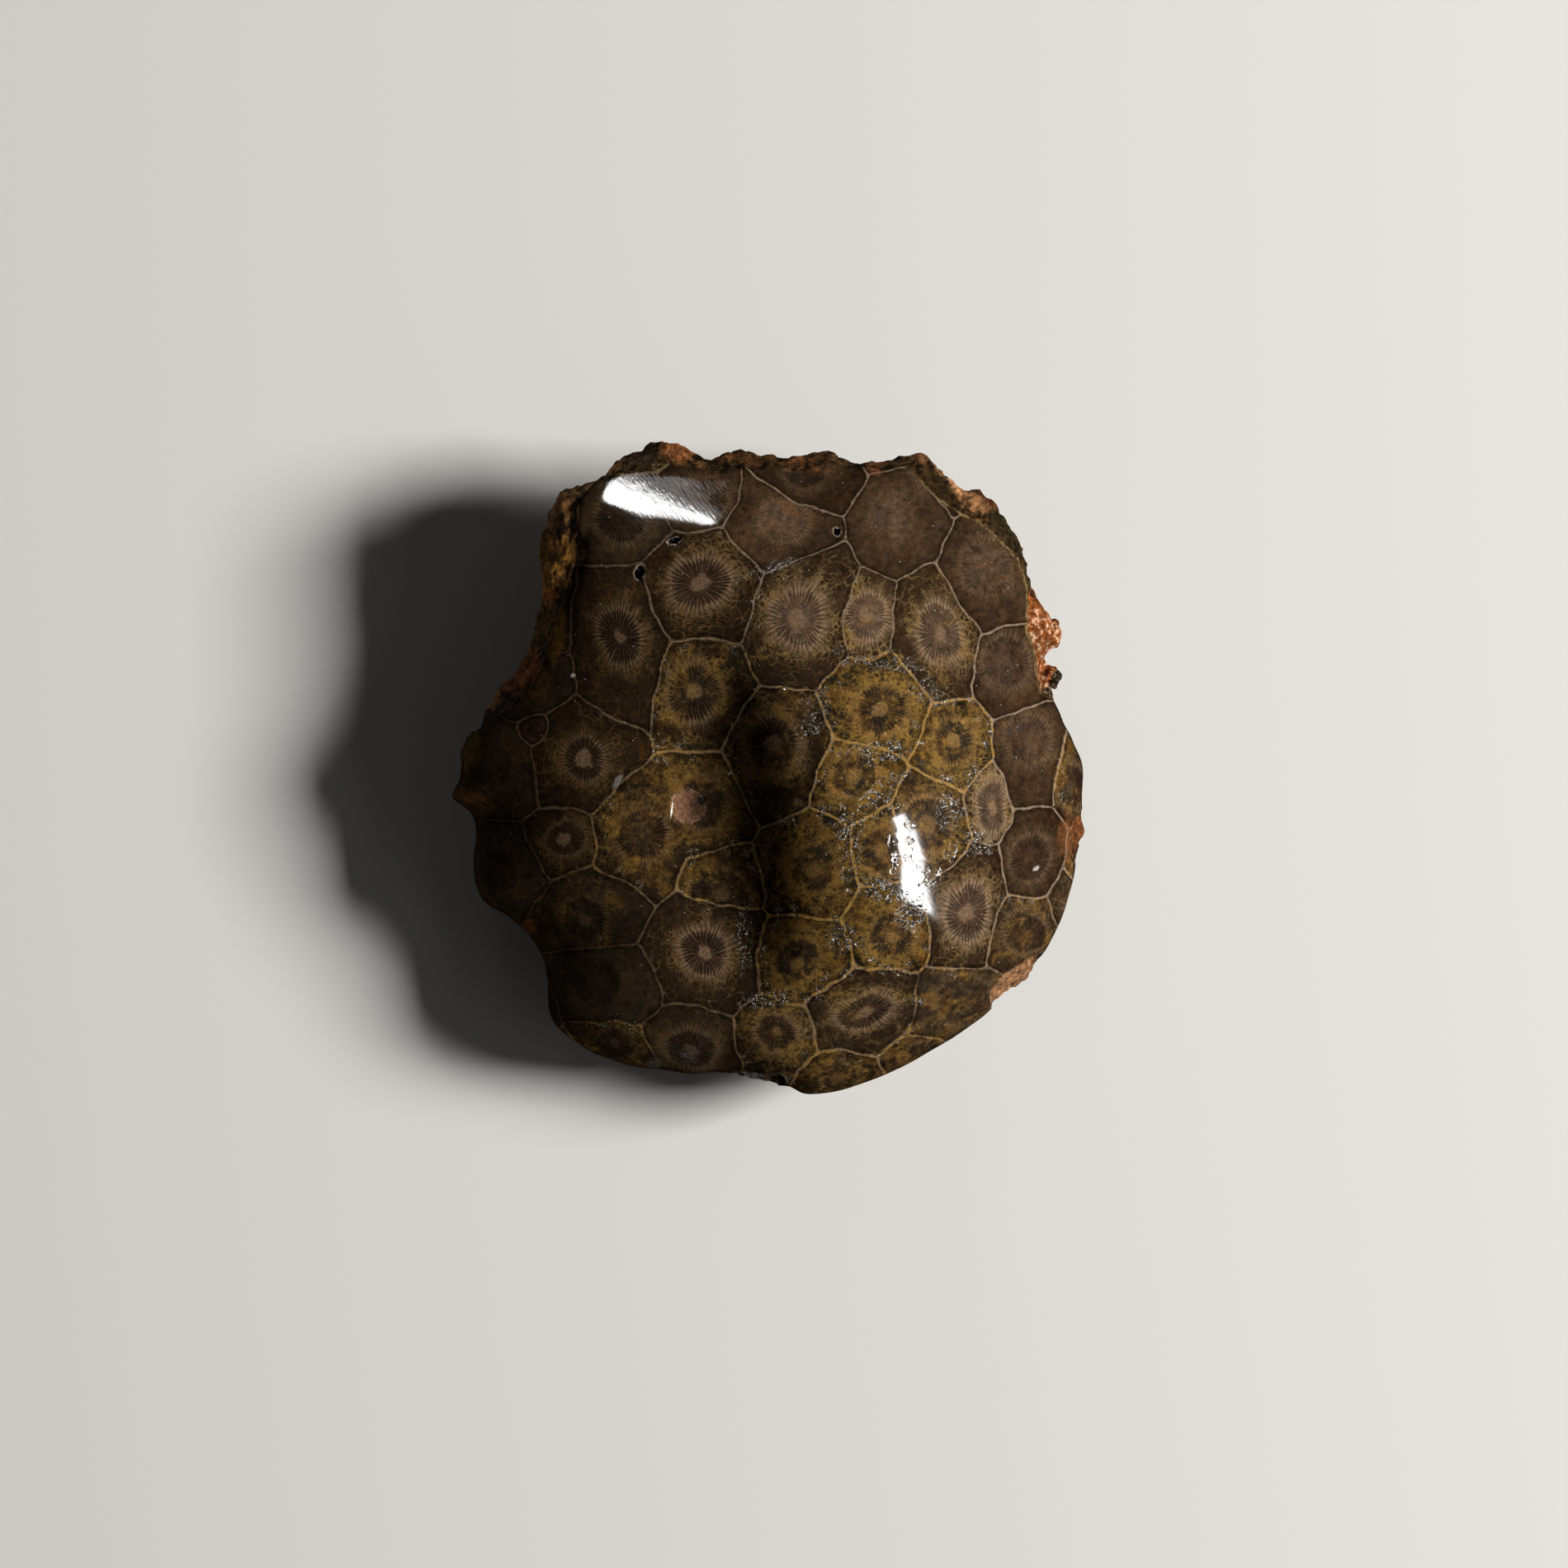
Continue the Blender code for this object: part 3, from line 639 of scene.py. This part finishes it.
def fieldsOf(add):
    # what all of the drawing reads: the stored places, and noise at the sizes that the stone's detail has.
    # Noise runs from about 0.3 to 0.7, and the ranges that the drawing takes from it were matched.
    at = {}
    for name in ("eyePlace", "cellLook", "cellSize", "facePlace", "stainDepths", "faceStain", "crustStainAndLight"):
        at[name] = add("Attribute", attribute_name=name).outputs["Vector"]
    at["clear"], at["stain"], at["tone"] = add("SeparateXYZ", at["cellLook"]).outputs
    at["eyeRadius"], at["middleRadius"], at["chance"] = add("SeparateXYZ", at["cellSize"]).outputs
    at["x"], at["y"], at["inside"] = add("SeparateXYZ", at["facePlace"]).outputs
    at["wallDistance"] = add("Math", add("SeparateXYZ", at["eyePlace"]).outputs[2], operation="ABSOLUTE")
    place = add("TexCoord").outputs["Object"]
    at["here"] = add("VectorMath", place, {"Scale": 1 / mm}, operation="SCALE")  # millimetres
    sizes = {  # waves per millimetre, detail, roughness
        "waver": (0.55, 0.5, 0.5), "cloud": (0.28, 4.0, 0.6), "mottle": (1.1, 4.0, 0.65),
        "grain": (4.0, 3.0, 0.65), "granular": (1.3, 6.0, 0.75), "patches": (0.42, 4.0, 0.65),
    }
    for name, (scale, detail, rough) in sizes.items():
        given = {"Vector": at["here"], "Scale": scale, "Detail": detail, "Roughness": rough}
        at[name] = add("TexNoise", given)
    cloudy = add("Math", at["cloud"], 1.5, at["stain"], operation="MULTIPLY_ADD")
    at["stained"] = add("MapRange", cloudy, 1.05, 1.55, interpolation_type="SMOOTHSTEP")
    at["faceDepth"], at["crustDepth"], at["glintDepth"] = add("SeparateXYZ", at["stainDepths"]).outputs
    at["smoky"] = add("MapRange", at["tone"], 0.0, 0.45)
    at["charcoal"] = add("MapRange", at["tone"], 0.0, -0.5)
    return at


def eyesOf(add, at):
    # where a place is in its cell's eye, a little unsteady, and what the blades and the ring do there
    shake = add("VectorMath", at["waver"].outputs["Color"], (0.1, 0.1, 0), (-0.05, -0.05, 0),
                operation="MULTIPLY_ADD")
    flatEye = add("VectorMath", at["eyePlace"], (1, 1, 0), shake, operation="MULTIPLY_ADD")
    radius = add("VectorMath", flatEye, operation="LENGTH").outputs["Value"]
    across, up = add("SeparateXYZ", flatEye).outputs[:2]
    turn = add("Math", up, across, operation="ARCTAN2")
    start = add("Math", at["chance"], 9.0, operation="MULTIPLY")  # each cell's blades begin elsewhere
    phase = add("Math", turn, cells["blades"] / (2 * math.pi), start, operation="MULTIPLY_ADD")
    uneven = add("TexNoise", {"W": phase, "Scale": 1.3, "Detail": 1.0}, noise_dimensions="1D")
    uneven = add("Math", uneven, 0.8, -0.4, operation="MULTIPLY_ADD")
    ragged = add("Math", uneven, add("Math", at["mottle"], 0.5, operation="SUBTRACT"), operation="ADD")
    fray = add("MapRange", radius, 0.85, 1.5, 0.08, 0.75)
    frayed = add("Math", ragged, fray, radius, operation="MULTIPLY_ADD")

    profile = add("ValToRGB", add("Math", frayed, 0.5, operation="MULTIPLY"))
    ramp = profile.color_ramp
    while len(ramp.elements) < len(look["profile"]):
        ramp.elements.new(0.5)
    for element, (position, longHalf, shortHalf, merge, show) in zip(ramp.elements, look["profile"]):
        element.position = position / 2
        element.color = (longHalf, shortHalf, merge, show)
    longHalf, shortHalf, merge = add("SeparateColor", profile).outputs
    fromLong = add("Math", phase, 0.5, operation="PINGPONG")
    fromShort = add("Math", 0.5, fromLong, operation="SUBTRACT")
    thickness = add("MapRange", at["grain"], 0.3, 0.7, 0.7, 1.3)
    blades = []
    for distance, half in ((fromLong, longHalf), (fromShort, shortHalf)):
        left = add("Math", add("Math", half, thickness, operation="MULTIPLY"), distance, operation="SUBTRACT")
        blades.append(add("Math", left, 12.0, operation="MULTIPLY", use_clamp=True))  # sharpens the edge
    blade = add("Math", blades[0], blades[1], operation="MAXIMUM")

    clear = add("Math", at["clear"], add("MapRange", at["stained"], 0.0, 1.0, 1.0, 0.5), operation="MULTIPLY")
    patchy = add("MapRange", at["mottle"], 0.3, 0.65, 0.3, 1.0)
    bladeShow = add("Math", blade, profile.outputs["Alpha"], operation="MULTIPLY")
    bladeShow = add("Math", bladeShow, add("Math", clear, patchy, operation="MULTIPLY"), operation="MULTIPLY")
    ringShow = add("MapRange", at["granular"], 0.38, 0.54, 0.25, 1.0)
    ringShow = add("Math", merge, ringShow, operation="MULTIPLY")
    ringShow = add("Math", ringShow, add("MapRange", clear, 0.0, 0.8, 0.1, 0.9), operation="MULTIPLY")
    eyeShow = add("MapRange", frayed, 1.0, 0.84, interpolation_type="SMOOTHSTEP")
    eyeShow = add("Math", eyeShow, add("MapRange", at["clear"], 0.0, 0.35, 0.25, 0.9), operation="MULTIPLY")
    return {"radius": radius, "frayed": frayed, "blade": bladeShow, "ring": ringShow, "eye": eyeShow}


def netOf(add, at, eyes):
    # the lace of bubbles between the ring and the wall: small close to the ring, farther out larger and
    # drawn out along the walls
    inward = add("Math", at["wallDistance"], 1.5, operation="MULTIPLY")
    swayed = add("CombineXYZ", at["x"], at["y"], inward)
    for field, sway in (("waver", 0.8), ("mottle", 0.7)):
        swayed = add("VectorMath", at[field].outputs["Color"], (sway,) * 3, swayed, operation="MULTIPLY_ADD")
    small = add("TexVoronoi", {"Vector": swayed, "Scale": look["laceScale"]}, feature="DISTANCE_TO_EDGE")
    thick = add("MapRange", eyes["frayed"], 1.05, 1.7, 0.3, 0.1)
    thin = add("Math", thick, 0.6, operation="MULTIPLY")
    lace = add("MapRange", small, thick, thin, interpolation_type="SMOOTHSTEP")
    lace = add("Math", lace, add("MapRange", eyes["frayed"], 2.0, 1.5), operation="MULTIPLY")
    large = add("TexVoronoi", {"Vector": swayed, "Scale": look["threadScale"]}, feature="DISTANCE_TO_EDGE")
    threads = add("MapRange", large, 0.085, 0.01, interpolation_type="SMOOTHSTEP")
    threads = add("Math", threads, add("MapRange", at["patches"], 0.42, 0.58, 0.1, 0.9), operation="MULTIPLY")
    net = add("Math", lace, threads, operation="MAXIMUM")
    net = add("Math", net, add("MapRange", at["granular"], 0.4, 0.56, 0.3, 1.0), operation="MULTIPLY")
    zone = add("MapRange", eyes["frayed"], 1.02, 1.15)
    for field, ranges in (("cloud", (0.4, 0.54, 0.2, 1.0)), ("clear", (0.05, 0.85, 0.08, 1.0)),
                          ("stain", (0.0, 0.3, 0.4, 1.0))):
        zone = add("Math", zone, add("MapRange", at[field], *ranges), operation="MULTIPLY")
    return add("Math", net, zone, operation="MULTIPLY"), add("Math", zone, 0.75, operation="MULTIPLY")


def wallsOf(add, at):
    # the wall between two cells, and the dark line on each side of it
    half = add("MapRange", at["mottle"], 0.25, 0.75, *look["wallHalves"])
    half = add("Math", half, add("MapRange", at["smoky"], 0.0, 1.0, 1.0, 0.5), operation="MULTIPLY")
    half = add("Math", half, add("MapRange", at["stained"], 0.0, 1.0, 1.0, 1.5), operation="MULTIPLY")
    zigzag = add("Math", at["grain"], 0.3, -0.15, operation="MULTIPLY_ADD")
    fromMiddle = add("Math", at["wallDistance"], zigzag, operation="ADD")
    fromWall = add("Math", fromMiddle, half, operation="SUBTRACT")
    wall = add("MapRange", fromWall, 0.08, -0.1, interpolation_type="SMOOTHSTEP")
    wall = add("Math", wall, add("MapRange", at["mottle"], 0.3, 0.6, 0.5, 0.9), operation="MULTIPLY")
    beside = add("MapRange", fromWall, 0.02, 0.75, 0.5, 1.0, interpolation_type="SMOOTHSTEP")
    return wall, beside


def drawCoral(add, at, colours):
    # the polished face: ground, net, ring, blades, middle and walls over one another
    eyes = eyesOf(add, at)
    wall, beside = wallsOf(add, at)
    stained, smoky, charcoal = at["stained"], at["smoky"], at["charcoal"]
    ochre = add("Math", at["patches"], 1.3, at["granular"], operation="MULTIPLY_ADD")
    ochre = add("MapRange", ochre, 1.02, 1.2)
    bright = add("MapRange", at["granular"], 0.54, 0.66, 0.0, 0.7)
    bright = add("Math", ochre, bright, operation="MULTIPLY")
    stainedGround = add("MixRGB", ochre, colours["stainDark"], colours["stainGround"])
    stainedGround = add("MixRGB", bright, stainedGround, colours["stainBright"])
    drawn = add("MixRGB", smoky, colours["ground"], colours["groundSmoky"])
    drawn = add("MixRGB", charcoal, drawn, colours["groundCharcoal"])
    drawn = add("MixRGB", stained, drawn, stainedGround)
    eyeGround = add("MixRGB", smoky, colours["eyeGround"], colours["eyeSmoky"])
    eyeGround = add("MixRGB", charcoal, eyeGround, colours["eyeCharcoal"])
    share = add("Math", stained, 0.85, operation="MULTIPLY")
    eyeGround = add("MixRGB", share, eyeGround, colours["eyeStained"])
    towardsRing = add("MapRange", eyes["frayed"], 0.3, 0.9, 1.15, 0.7)
    eyeGround = add("MixRGB", 1.0, eyeGround, towardsRing, blend_type="MULTIPLY")
    patchyStain = add("MapRange", at["granular"], 0.4, 0.6, 1.0, 0.45)
    eyeShow = add("MapRange", stained, 0.0, 1.0, 1.0, patchyStain)
    eyeShow = add("Math", eyes["eye"], eyeShow, operation="MULTIPLY")
    drawn = add("MixRGB", eyeShow, drawn, eyeGround)
    warmth = add("MapRange", at["patches"], 0.42, 0.6)
    shades = (
        add("MapRange", at["mottle"], 0.3, 0.7, 0.55, 1.5),
        add("MapRange", at["cloud"], 0.35, 0.65, 0.75, 1.3),
        add("MapRange", at["granular"], 0.35, 0.65, 0.7, 1.3),
        beside,
        add("MixRGB", warmth, (0.96, 0.99, 1.03, 1), (1.09, 0.99, 0.86, 1)),  # from cool to warm
    )
    for shade in shades:
        drawn = add("MixRGB", 1.0, drawn, shade, blend_type="MULTIPLY")

    half = add("Math", stained, 0.6, operation="MULTIPLY")
    rightwards = add("MapRange", at["x"], -22.0, 8.0)
    line = add("MixRGB", rightwards, colours["lineLeft"], colours["line"])
    ring = add("MixRGB", rightwards, colours["ringLeft"], colours["ring"])
    net, between = netOf(add, at, eyes)
    layers = [
        (between, colours["hollow"], colours["hollowStained"], stained),
        (net, add("MixRGB", rightwards, colours["netLeft"], colours["net"]), colours["stainLine"], stained),
        (eyes["ring"], ring, colours["stainBright"], half),
        (eyes["blade"], line, colours["stainLine"], half),
    ]
    for show, plain, ochreOne, share in layers:
        drawn = add("MixRGB", show, drawn, add("MixRGB", share, plain, ochreOne))
    fromEdge = add("Math", eyes["radius"], at["eyeRadius"], operation="MULTIPLY")
    fromEdge = add("Math", fromEdge, at["middleRadius"], operation="SUBTRACT")
    fromEdge = add("Math", at["granular"], 2.2, fromEdge, operation="MULTIPLY_ADD")
    middle = add("MapRange", fromEdge, 1.25, 0.9, interpolation_type="SMOOTHSTEP")
    middle = add("Math", middle, add("MapRange", at["grain"], 0.3, 0.7, 0.3, 1.0), operation="MULTIPLY")
    middle = add("Math", middle, add("MapRange", at["clear"], 0.05, 0.7, 0.0, 0.95), operation="MULTIPLY")
    drawn = add("MixRGB", middle, drawn, add("MixRGB", half, colours["middle"], colours["stainBright"]))
    wallColour = add("MixRGB", rightwards, colours["wallLeft"], colours["wall"])
    wallColour = add("MixRGB", charcoal, wallColour, colours["ringLeft"])
    drawn = add("MixRGB", wall, drawn, add("MixRGB", stained, wallColour, colours["stainWall"]))
    grain = add("MapRange", at["grain"], 0.25, 0.75, 0.7, 1.3)
    return add("MixRGB", 1.0, drawn, grain, blend_type="MULTIPLY")


def spotOf(add, at, x, y, wide, tall, lean, soft, ragged):
    # one soft oval on the face, with a broken edge
    # the third measure of facePlace isn't a place, so it is scaled down to nothing
    away = add("Mapping", at["facePlace"], (x, y, 0), (0, 0, math.radians(lean)), (wide, tall, 1e6),
               vector_type="TEXTURE")
    length = add("VectorMath", away, operation="LENGTH").outputs["Value"]
    broken = add("Math", at["granular"], 0.5, operation="SUBTRACT")
    edge = add("Math", broken, ragged, length, operation="MULTIPLY_ADD")
    return add("MapRange", edge, 1 + soft / 2, 1 - soft / 2, interpolation_type="SMOOTHSTEP")


def drawMarks(add, at, drawn, colours):
    # stains and small open holes on the polished face, among them painted shadow and a painted highlight at
    # the patch and painted shade in the pits, then the fine pores and the white crystal in them, painted as
    # glints in places
    centred = add("Math", at["mottle"], 0.5, operation="SUBTRACT")
    depth = add("Math", centred, 2.2, at["faceDepth"], operation="MULTIPLY_ADD")
    amount = add("Math", add("MapRange", depth, -0.4, 0.4),
                 add("MapRange", at["granular"], 0.42, 0.58, 0.25, 0.95), operation="MULTIPLY")
    drawn = add("MixRGB", amount, drawn, at["faceStain"])
    ragged = look["raggedMark"]
    # the marks include painted shadow and a painted highlight at the sunk patch
    for x, y, wide, tall, lean, soft, strength, colour in look["marks"]:
        spot = spotOf(add, at, x, y, wide, tall, lean, soft, ragged)
        amount = add("Math", spot, strength, operation="MULTIPLY")
        mottled = add("MixRGB", 1.0, linear(colour), add("MapRange", at["grain"], 0.35, 0.62, 0.55, 1.3),
                      blend_type="MULTIPLY")
        drawn = add("MixRGB", amount, drawn, mottled)
    for x, y, wide, tall, _, turned in stone["pits"]:
        rim = spotOf(add, at, x, y, wide + 0.1, tall + 0.1, turned, 0.25, ragged)
        drawn = add("MixRGB", rim, drawn, colours["pitRim"])
        # inside the hole the colour is near black: painted shade in the recess
        pit = spotOf(add, at, x, y, wide, tall, turned, 0.2, look["raggedPit"])
        drawn = add("MixRGB", pit, drawn, colours["pit"])

    pores = add("TexNoise", {"Vector": at["here"], "Scale": 1.3, "Detail": 1.5, "Distortion": 0.5})
    fromLine = add("Math", add("Math", pores, 0.5, operation="SUBTRACT"), operation="ABSOLUTE")
    nearWall = add("MapRange", at["wallDistance"], 2.2, 0.6, interpolation_type="SMOOTHSTEP")
    zone = add("Math", at["stained"], nearWall, operation="MULTIPLY")
    zone = add("Math", zone, add("MapRange", at["waver"], 0.54, 0.62, 0.0, 0.7), operation="MULTIPLY")
    # the places of painted glints, where the pores' crystal is painted as highlights
    glintDepth = add("Math", centred, 1.8, at["glintDepth"], operation="MULTIPLY_ADD")
    zone = add("Math", zone, add("MapRange", glintDepth, -0.4, 0.4), operation="MAXIMUM")
    pore = add("MapRange", fromLine, 0.065, 0.03, interpolation_type="SMOOTHSTEP")
    filled = add("MapRange", fromLine, 0.03, 0.014)
    filled = add("Math", filled, add("MapRange", at["grain"], 0.45, 0.58), operation="MULTIPLY")
    filled = add("Math", filled, add("MapRange", at["granular"], 0.46, 0.54), operation="MULTIPLY")
    poreShow = add("Math", zone, pore, operation="MULTIPLY")
    # white crystal in the pores, painted as glints: painted highlights
    crystalAndGlintShow = add("Math", zone, filled, operation="MULTIPLY")
    drawn = add("MixRGB", poreShow, drawn, colours["stainDark"])
    drawn = add("MixRGB", crystalAndGlintShow, drawn, colours["crystalAndGlint"])
    # single bright grains, a tenth of a millimetre across, here and there
    speck = add("TexVoronoi", {"Vector": at["here"], "Scale": 1.0})
    chosen = add("SeparateColor", speck.outputs["Color"]).outputs[0]
    chosen = add("Math", chosen, 0.72, operation="GREATER_THAN")
    speckShow = add("MapRange", speck.outputs["Distance"], 0.08, 0.04)
    speckShow = add("Math", speckShow, chosen, operation="MULTIPLY")
    speckShow = add("Math", speckShow, 0.5, operation="MULTIPLY")
    return add("MixRGB", speckShow, drawn, colours["crystalAndGlint"]), poreShow


def drawCrust(add, at, colours):
    # the unpolished skin: crumbs with painted shade in the hollows between them, stained by iron, and on the
    # left painted lighter where it faces away from the key light
    crumble = add("TexNoise", {"Vector": at["here"], "Scale": 0.9, "Detail": 7.0, "Roughness": 0.75})
    shaken = add("VectorMath", crumble.outputs["Color"], (3.4,) * 3, at["here"], operation="MULTIPLY_ADD")
    hollow = add("TexVoronoi", {"Vector": shaken, "Scale": 0.6}, feature="DISTANCE_TO_EDGE")
    crust = add("MixRGB", add("MapRange", crumble, 0.42, 0.6), colours["crustDark"], colours["crustLight"])
    centred = add("Math", crumble, 0.5, operation="SUBTRACT")
    depth = add("Math", centred, 4.0, at["crustDepth"], operation="MULTIPLY_ADD")
    amount = add("MapRange", depth, -0.3, 0.5)
    amount = add("Math", amount, add("MapRange", crumble, 0.36, 0.5, 0.3, 1.0), operation="MULTIPLY")
    # iron stains, on the left painted lighter as painted light
    crust = add("MixRGB", amount, crust, at["crustStainAndLight"])
    zone = spotOf(add, at, *look["fleckPlace"])
    fleck = add("MapRange", at["granular"], 0.5, 0.62, 0.0, 0.85, interpolation_type="SMOOTHSTEP")
    crust = add("MixRGB", add("Math", fleck, zone, operation="MULTIPLY"), crust, colours["fleck"])
    # painted shade in the hollows between the crumbs, then lighter and darker grain
    for shade in (add("MapRange", hollow, 0.0, 0.2, 0.45, 1.1),
                  add("MapRange", at["granular"], 0.38, 0.64, 0.45, 1.7)):
        crust = add("MixRGB", 1.0, crust, shade, blend_type="MULTIPLY")
    edge = add("Math", at["mottle"], 1.1, at["inside"], operation="MULTIPLY_ADD")
    crusted = add("MapRange", edge, look["crustEdge"], look["crustEdge"] / 2, interpolation_type="SMOOTHSTEP")
    fromSeam = add("Math", edge, look["crustEdge"], operation="SUBTRACT")
    fromSeam = add("Math", fromSeam, operation="ABSOLUTE")
    seam = add("MapRange", fromSeam, 0.16, 0.08)
    seam = add("Math", seam, spotOf(add, at, *look["seamPlace"]), operation="MULTIPLY")
    seam = add("Math", seam, add("MapRange", at["granular"], 0.42, 0.56, 0.1, 0.85), operation="MULTIPLY")
    return crust, crusted, seam, crumble


def reliefOf(add, at, poreShow, crumble, rough):
    # the last strokes of the polishing, seen only at the edges of a highlight, the pores, and the crumbs
    laid = {"Rotation": (0, 0, math.radians(look["strokeLean"])), "Scale": look["strokeSize"]}
    turned = add("Mapping", at["here"], laid, vector_type="TEXTURE")
    strokes = add("TexNoise", {"Vector": turned, "Scale": 1.0, "Detail": 2.0})
    depth = add("MapRange", spotOf(add, at, *look["brushedPlace"]), 0.0, 1.0, 0.1, 1.8)
    strokes = add("Math", strokes, depth, operation="MULTIPLY")
    pores = add("Math", poreShow, 4.0, operation="MULTIPLY")
    height = add("Math", strokes, pores, operation="SUBTRACT")
    polished = add("Bump", {"Strength": 1.0, "Distance": look["strokeDepth"] * mm, "Height": height})
    crumbly = add("Bump", {"Strength": 1.0, "Distance": look["crumbDepth"] * mm, "Height": crumble})
    return add("MixRGB", rough, polished, crumbly)


def coralMaterial():
    material = bpy.data.materials.new("polishedCoralLimestone")
    material.use_nodes = True
    tree = material.node_tree
    shader = tree.nodes["Principled BSDF"]
    add = partial(addNode, tree)
    colours = {name: linear(value) for name, value in look.items() if str(value).startswith("#")}
    at = fieldsOf(add)
    drawn, poreShow = drawMarks(add, at, drawCoral(add, at, colours), colours)
    crust, crusted, seam, crumble = drawCrust(add, at, colours)
    colour = add("MixRGB", seam, add("MixRGB", crusted, drawn, crust), colours["seam"])
    x, y, radius = stone["patch"][:3]
    rough = add("Math", crusted, spotOf(add, at, x, y, radius, radius, 0, 0.15, 0.3), operation="MAXIMUM")
    least, most = [look["gloss"] * share for share in look["glossSpread"]]
    polished = add("MapRange", at["cloud"], 0.3, 0.7, least, most)
    results = {
        "Base Color": colour,
        "Roughness": add("MapRange", rough, 0.0, 1.0, polished, look["crustRoughness"]),
        "Normal": reliefOf(add, at, poreShow, crumble, rough),
        "Specular IOR Level": add("MapRange", rough, 0.0, 1.0, look["specular"], look["crustSpecular"]),
    }
    for name, node in results.items():
        tree.links.new(node.outputs[0], shader.inputs[name])
    shader.inputs["IOR"].default_value = look["ior"]
    return material


def makeStone():
    piece = copyOfNode("petoskey_stone")
    heights = widestLine(vertexPlaces(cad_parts["petoskey_stone"].data))
    roughenCrust(piece, heights)
    cutPits(piece)
    print("stone shaped,", len(piece.data.polygons), "faces")
    storeCells(piece, heights)
    storeStains(piece, heights)
    print("cells and stains stored on the stone")
    piece.data.shade_smooth()
    piece.data.materials.clear()
    piece.data.materials.append(coralMaterial())
    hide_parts("petoskey_stone")
    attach(piece, "root")


room = {
    "floorColour": "#d9d6d0", "floorSize": 4, "floorRoughness": 0.85,
    "world": 0.03,
    "lens": 200.0, "sensor": 36.0,
    "frameWidth": 190.0,  # millimetres across the photograph at the stone's middle height
    "frameMiddle": (2.15, -2.15), "middleHeight": 14.0,
    "keyAngle": (6.2, 34.6), "keyDistance": 1.6, "keySize": 0.46, "keyPower": 45.0,
    # lights that only show mirrored in the polish: name, the directions of their two ends as azimuth and
    # elevation, width, brightness
    "mirroredLights": [
        ("topDomeLight", (-3, 50.5), (-14, 46.6), 0.1, 26.0),
        ("middleDomeLight", (-14, 46.6), (-32, 38.6), 0.15, 26.0),
        ("lowerDomeLight", (-32, 38.6), (-49.5, 29.6), 0.13, 26.0),
        ("facetLight", (114, 46), (102, 45.5), 0.17, 26.0),
        ("dimFacetLight", (113, 38), (94, 37), 0.26, 2.4),
    ],
    "mirroredDistance": 1.1,
}


def makeFloor():
    bpy.ops.mesh.primitive_plane_add(size=room["floorSize"])
    floor = bpy.context.object
    floor.name = "floor"
    material = bpy.data.materials.new("paleFloor")
    material.use_nodes = True
    shader = material.node_tree.nodes["Principled BSDF"]
    shader.inputs["Base Color"].default_value = linear(room["floorColour"])
    shader.inputs["Roughness"].default_value = room["floorRoughness"]
    floor.data.materials.append(material)
    floor.visible_glossy = False  # the polish mirrors a dark room, as in the photograph


def makeCamera():
    data = bpy.data.cameras.new("camera")
    data.lens = room["lens"]
    data.sensor_width = room["sensor"]
    camera = bpy.data.objects.new("camera", data)
    bpy.context.scene.collection.objects.link(camera)
    x, y = np.array(room["frameMiddle"]) - faceMiddle
    distance = room["frameWidth"] * room["lens"] / room["sensor"]
    camera.location = (x * mm, y * mm, (room["middleHeight"] + distance) * mm)
    bpy.context.scene.camera = camera


def towards(azimuth, elevation):
    turn, rise = math.radians(azimuth), math.radians(elevation)
    return Vector((math.cos(rise) * math.cos(turn), math.cos(rise) * math.sin(turn), math.sin(rise)))


def addLight(name, size, power):
    data = bpy.data.lights.new(name, "AREA")
    data.shape = "RECTANGLE"
    data.size, data.size_y = size
    data.energy = power
    light = bpy.data.objects.new(name, data)
    bpy.context.scene.collection.objects.link(light)
    return light


def makeLights():
    for name, start, end, width, brightness in room["mirroredLights"]:
        first = towards(*start) * room["mirroredDistance"]
        second = towards(*end) * room["mirroredDistance"]
        middle = (first + second) / 2
        facing = middle.normalized()
        across = (second - first - facing * (second - first).dot(facing)).normalized()
        length = (second - first).length
        light = addLight(name, (length, width), brightness * length * width * math.pi)
        turned = Matrix((across, facing.cross(across), facing)).transposed().to_4x4()
        light.matrix_world = Matrix.Translation(middle) @ turned
        light.visible_diffuse = False
    toKey = towards(*room["keyAngle"])
    key = addLight("key", (room["keySize"], room["keySize"]), room["keyPower"])
    turned = toKey.to_track_quat("Z", "Y").to_matrix().to_4x4()
    key.matrix_world = Matrix.Translation(toKey * room["keyDistance"]) @ turned
    key.visible_glossy = False
    world = bpy.data.worlds.new("room")
    world.use_nodes = True
    world.node_tree.nodes["Background"].inputs["Color"].default_value = (room["world"],) * 3 + (1,)
    world.cycles_visibility.glossy = False
    bpy.context.scene.world = world


bpy.context.scene.view_settings.view_transform = "Standard"
makeStone()
print("stone finished")
makeFloor()
makeCamera()
bpy.context.view_layer.update()
makeLights()
print("room done")
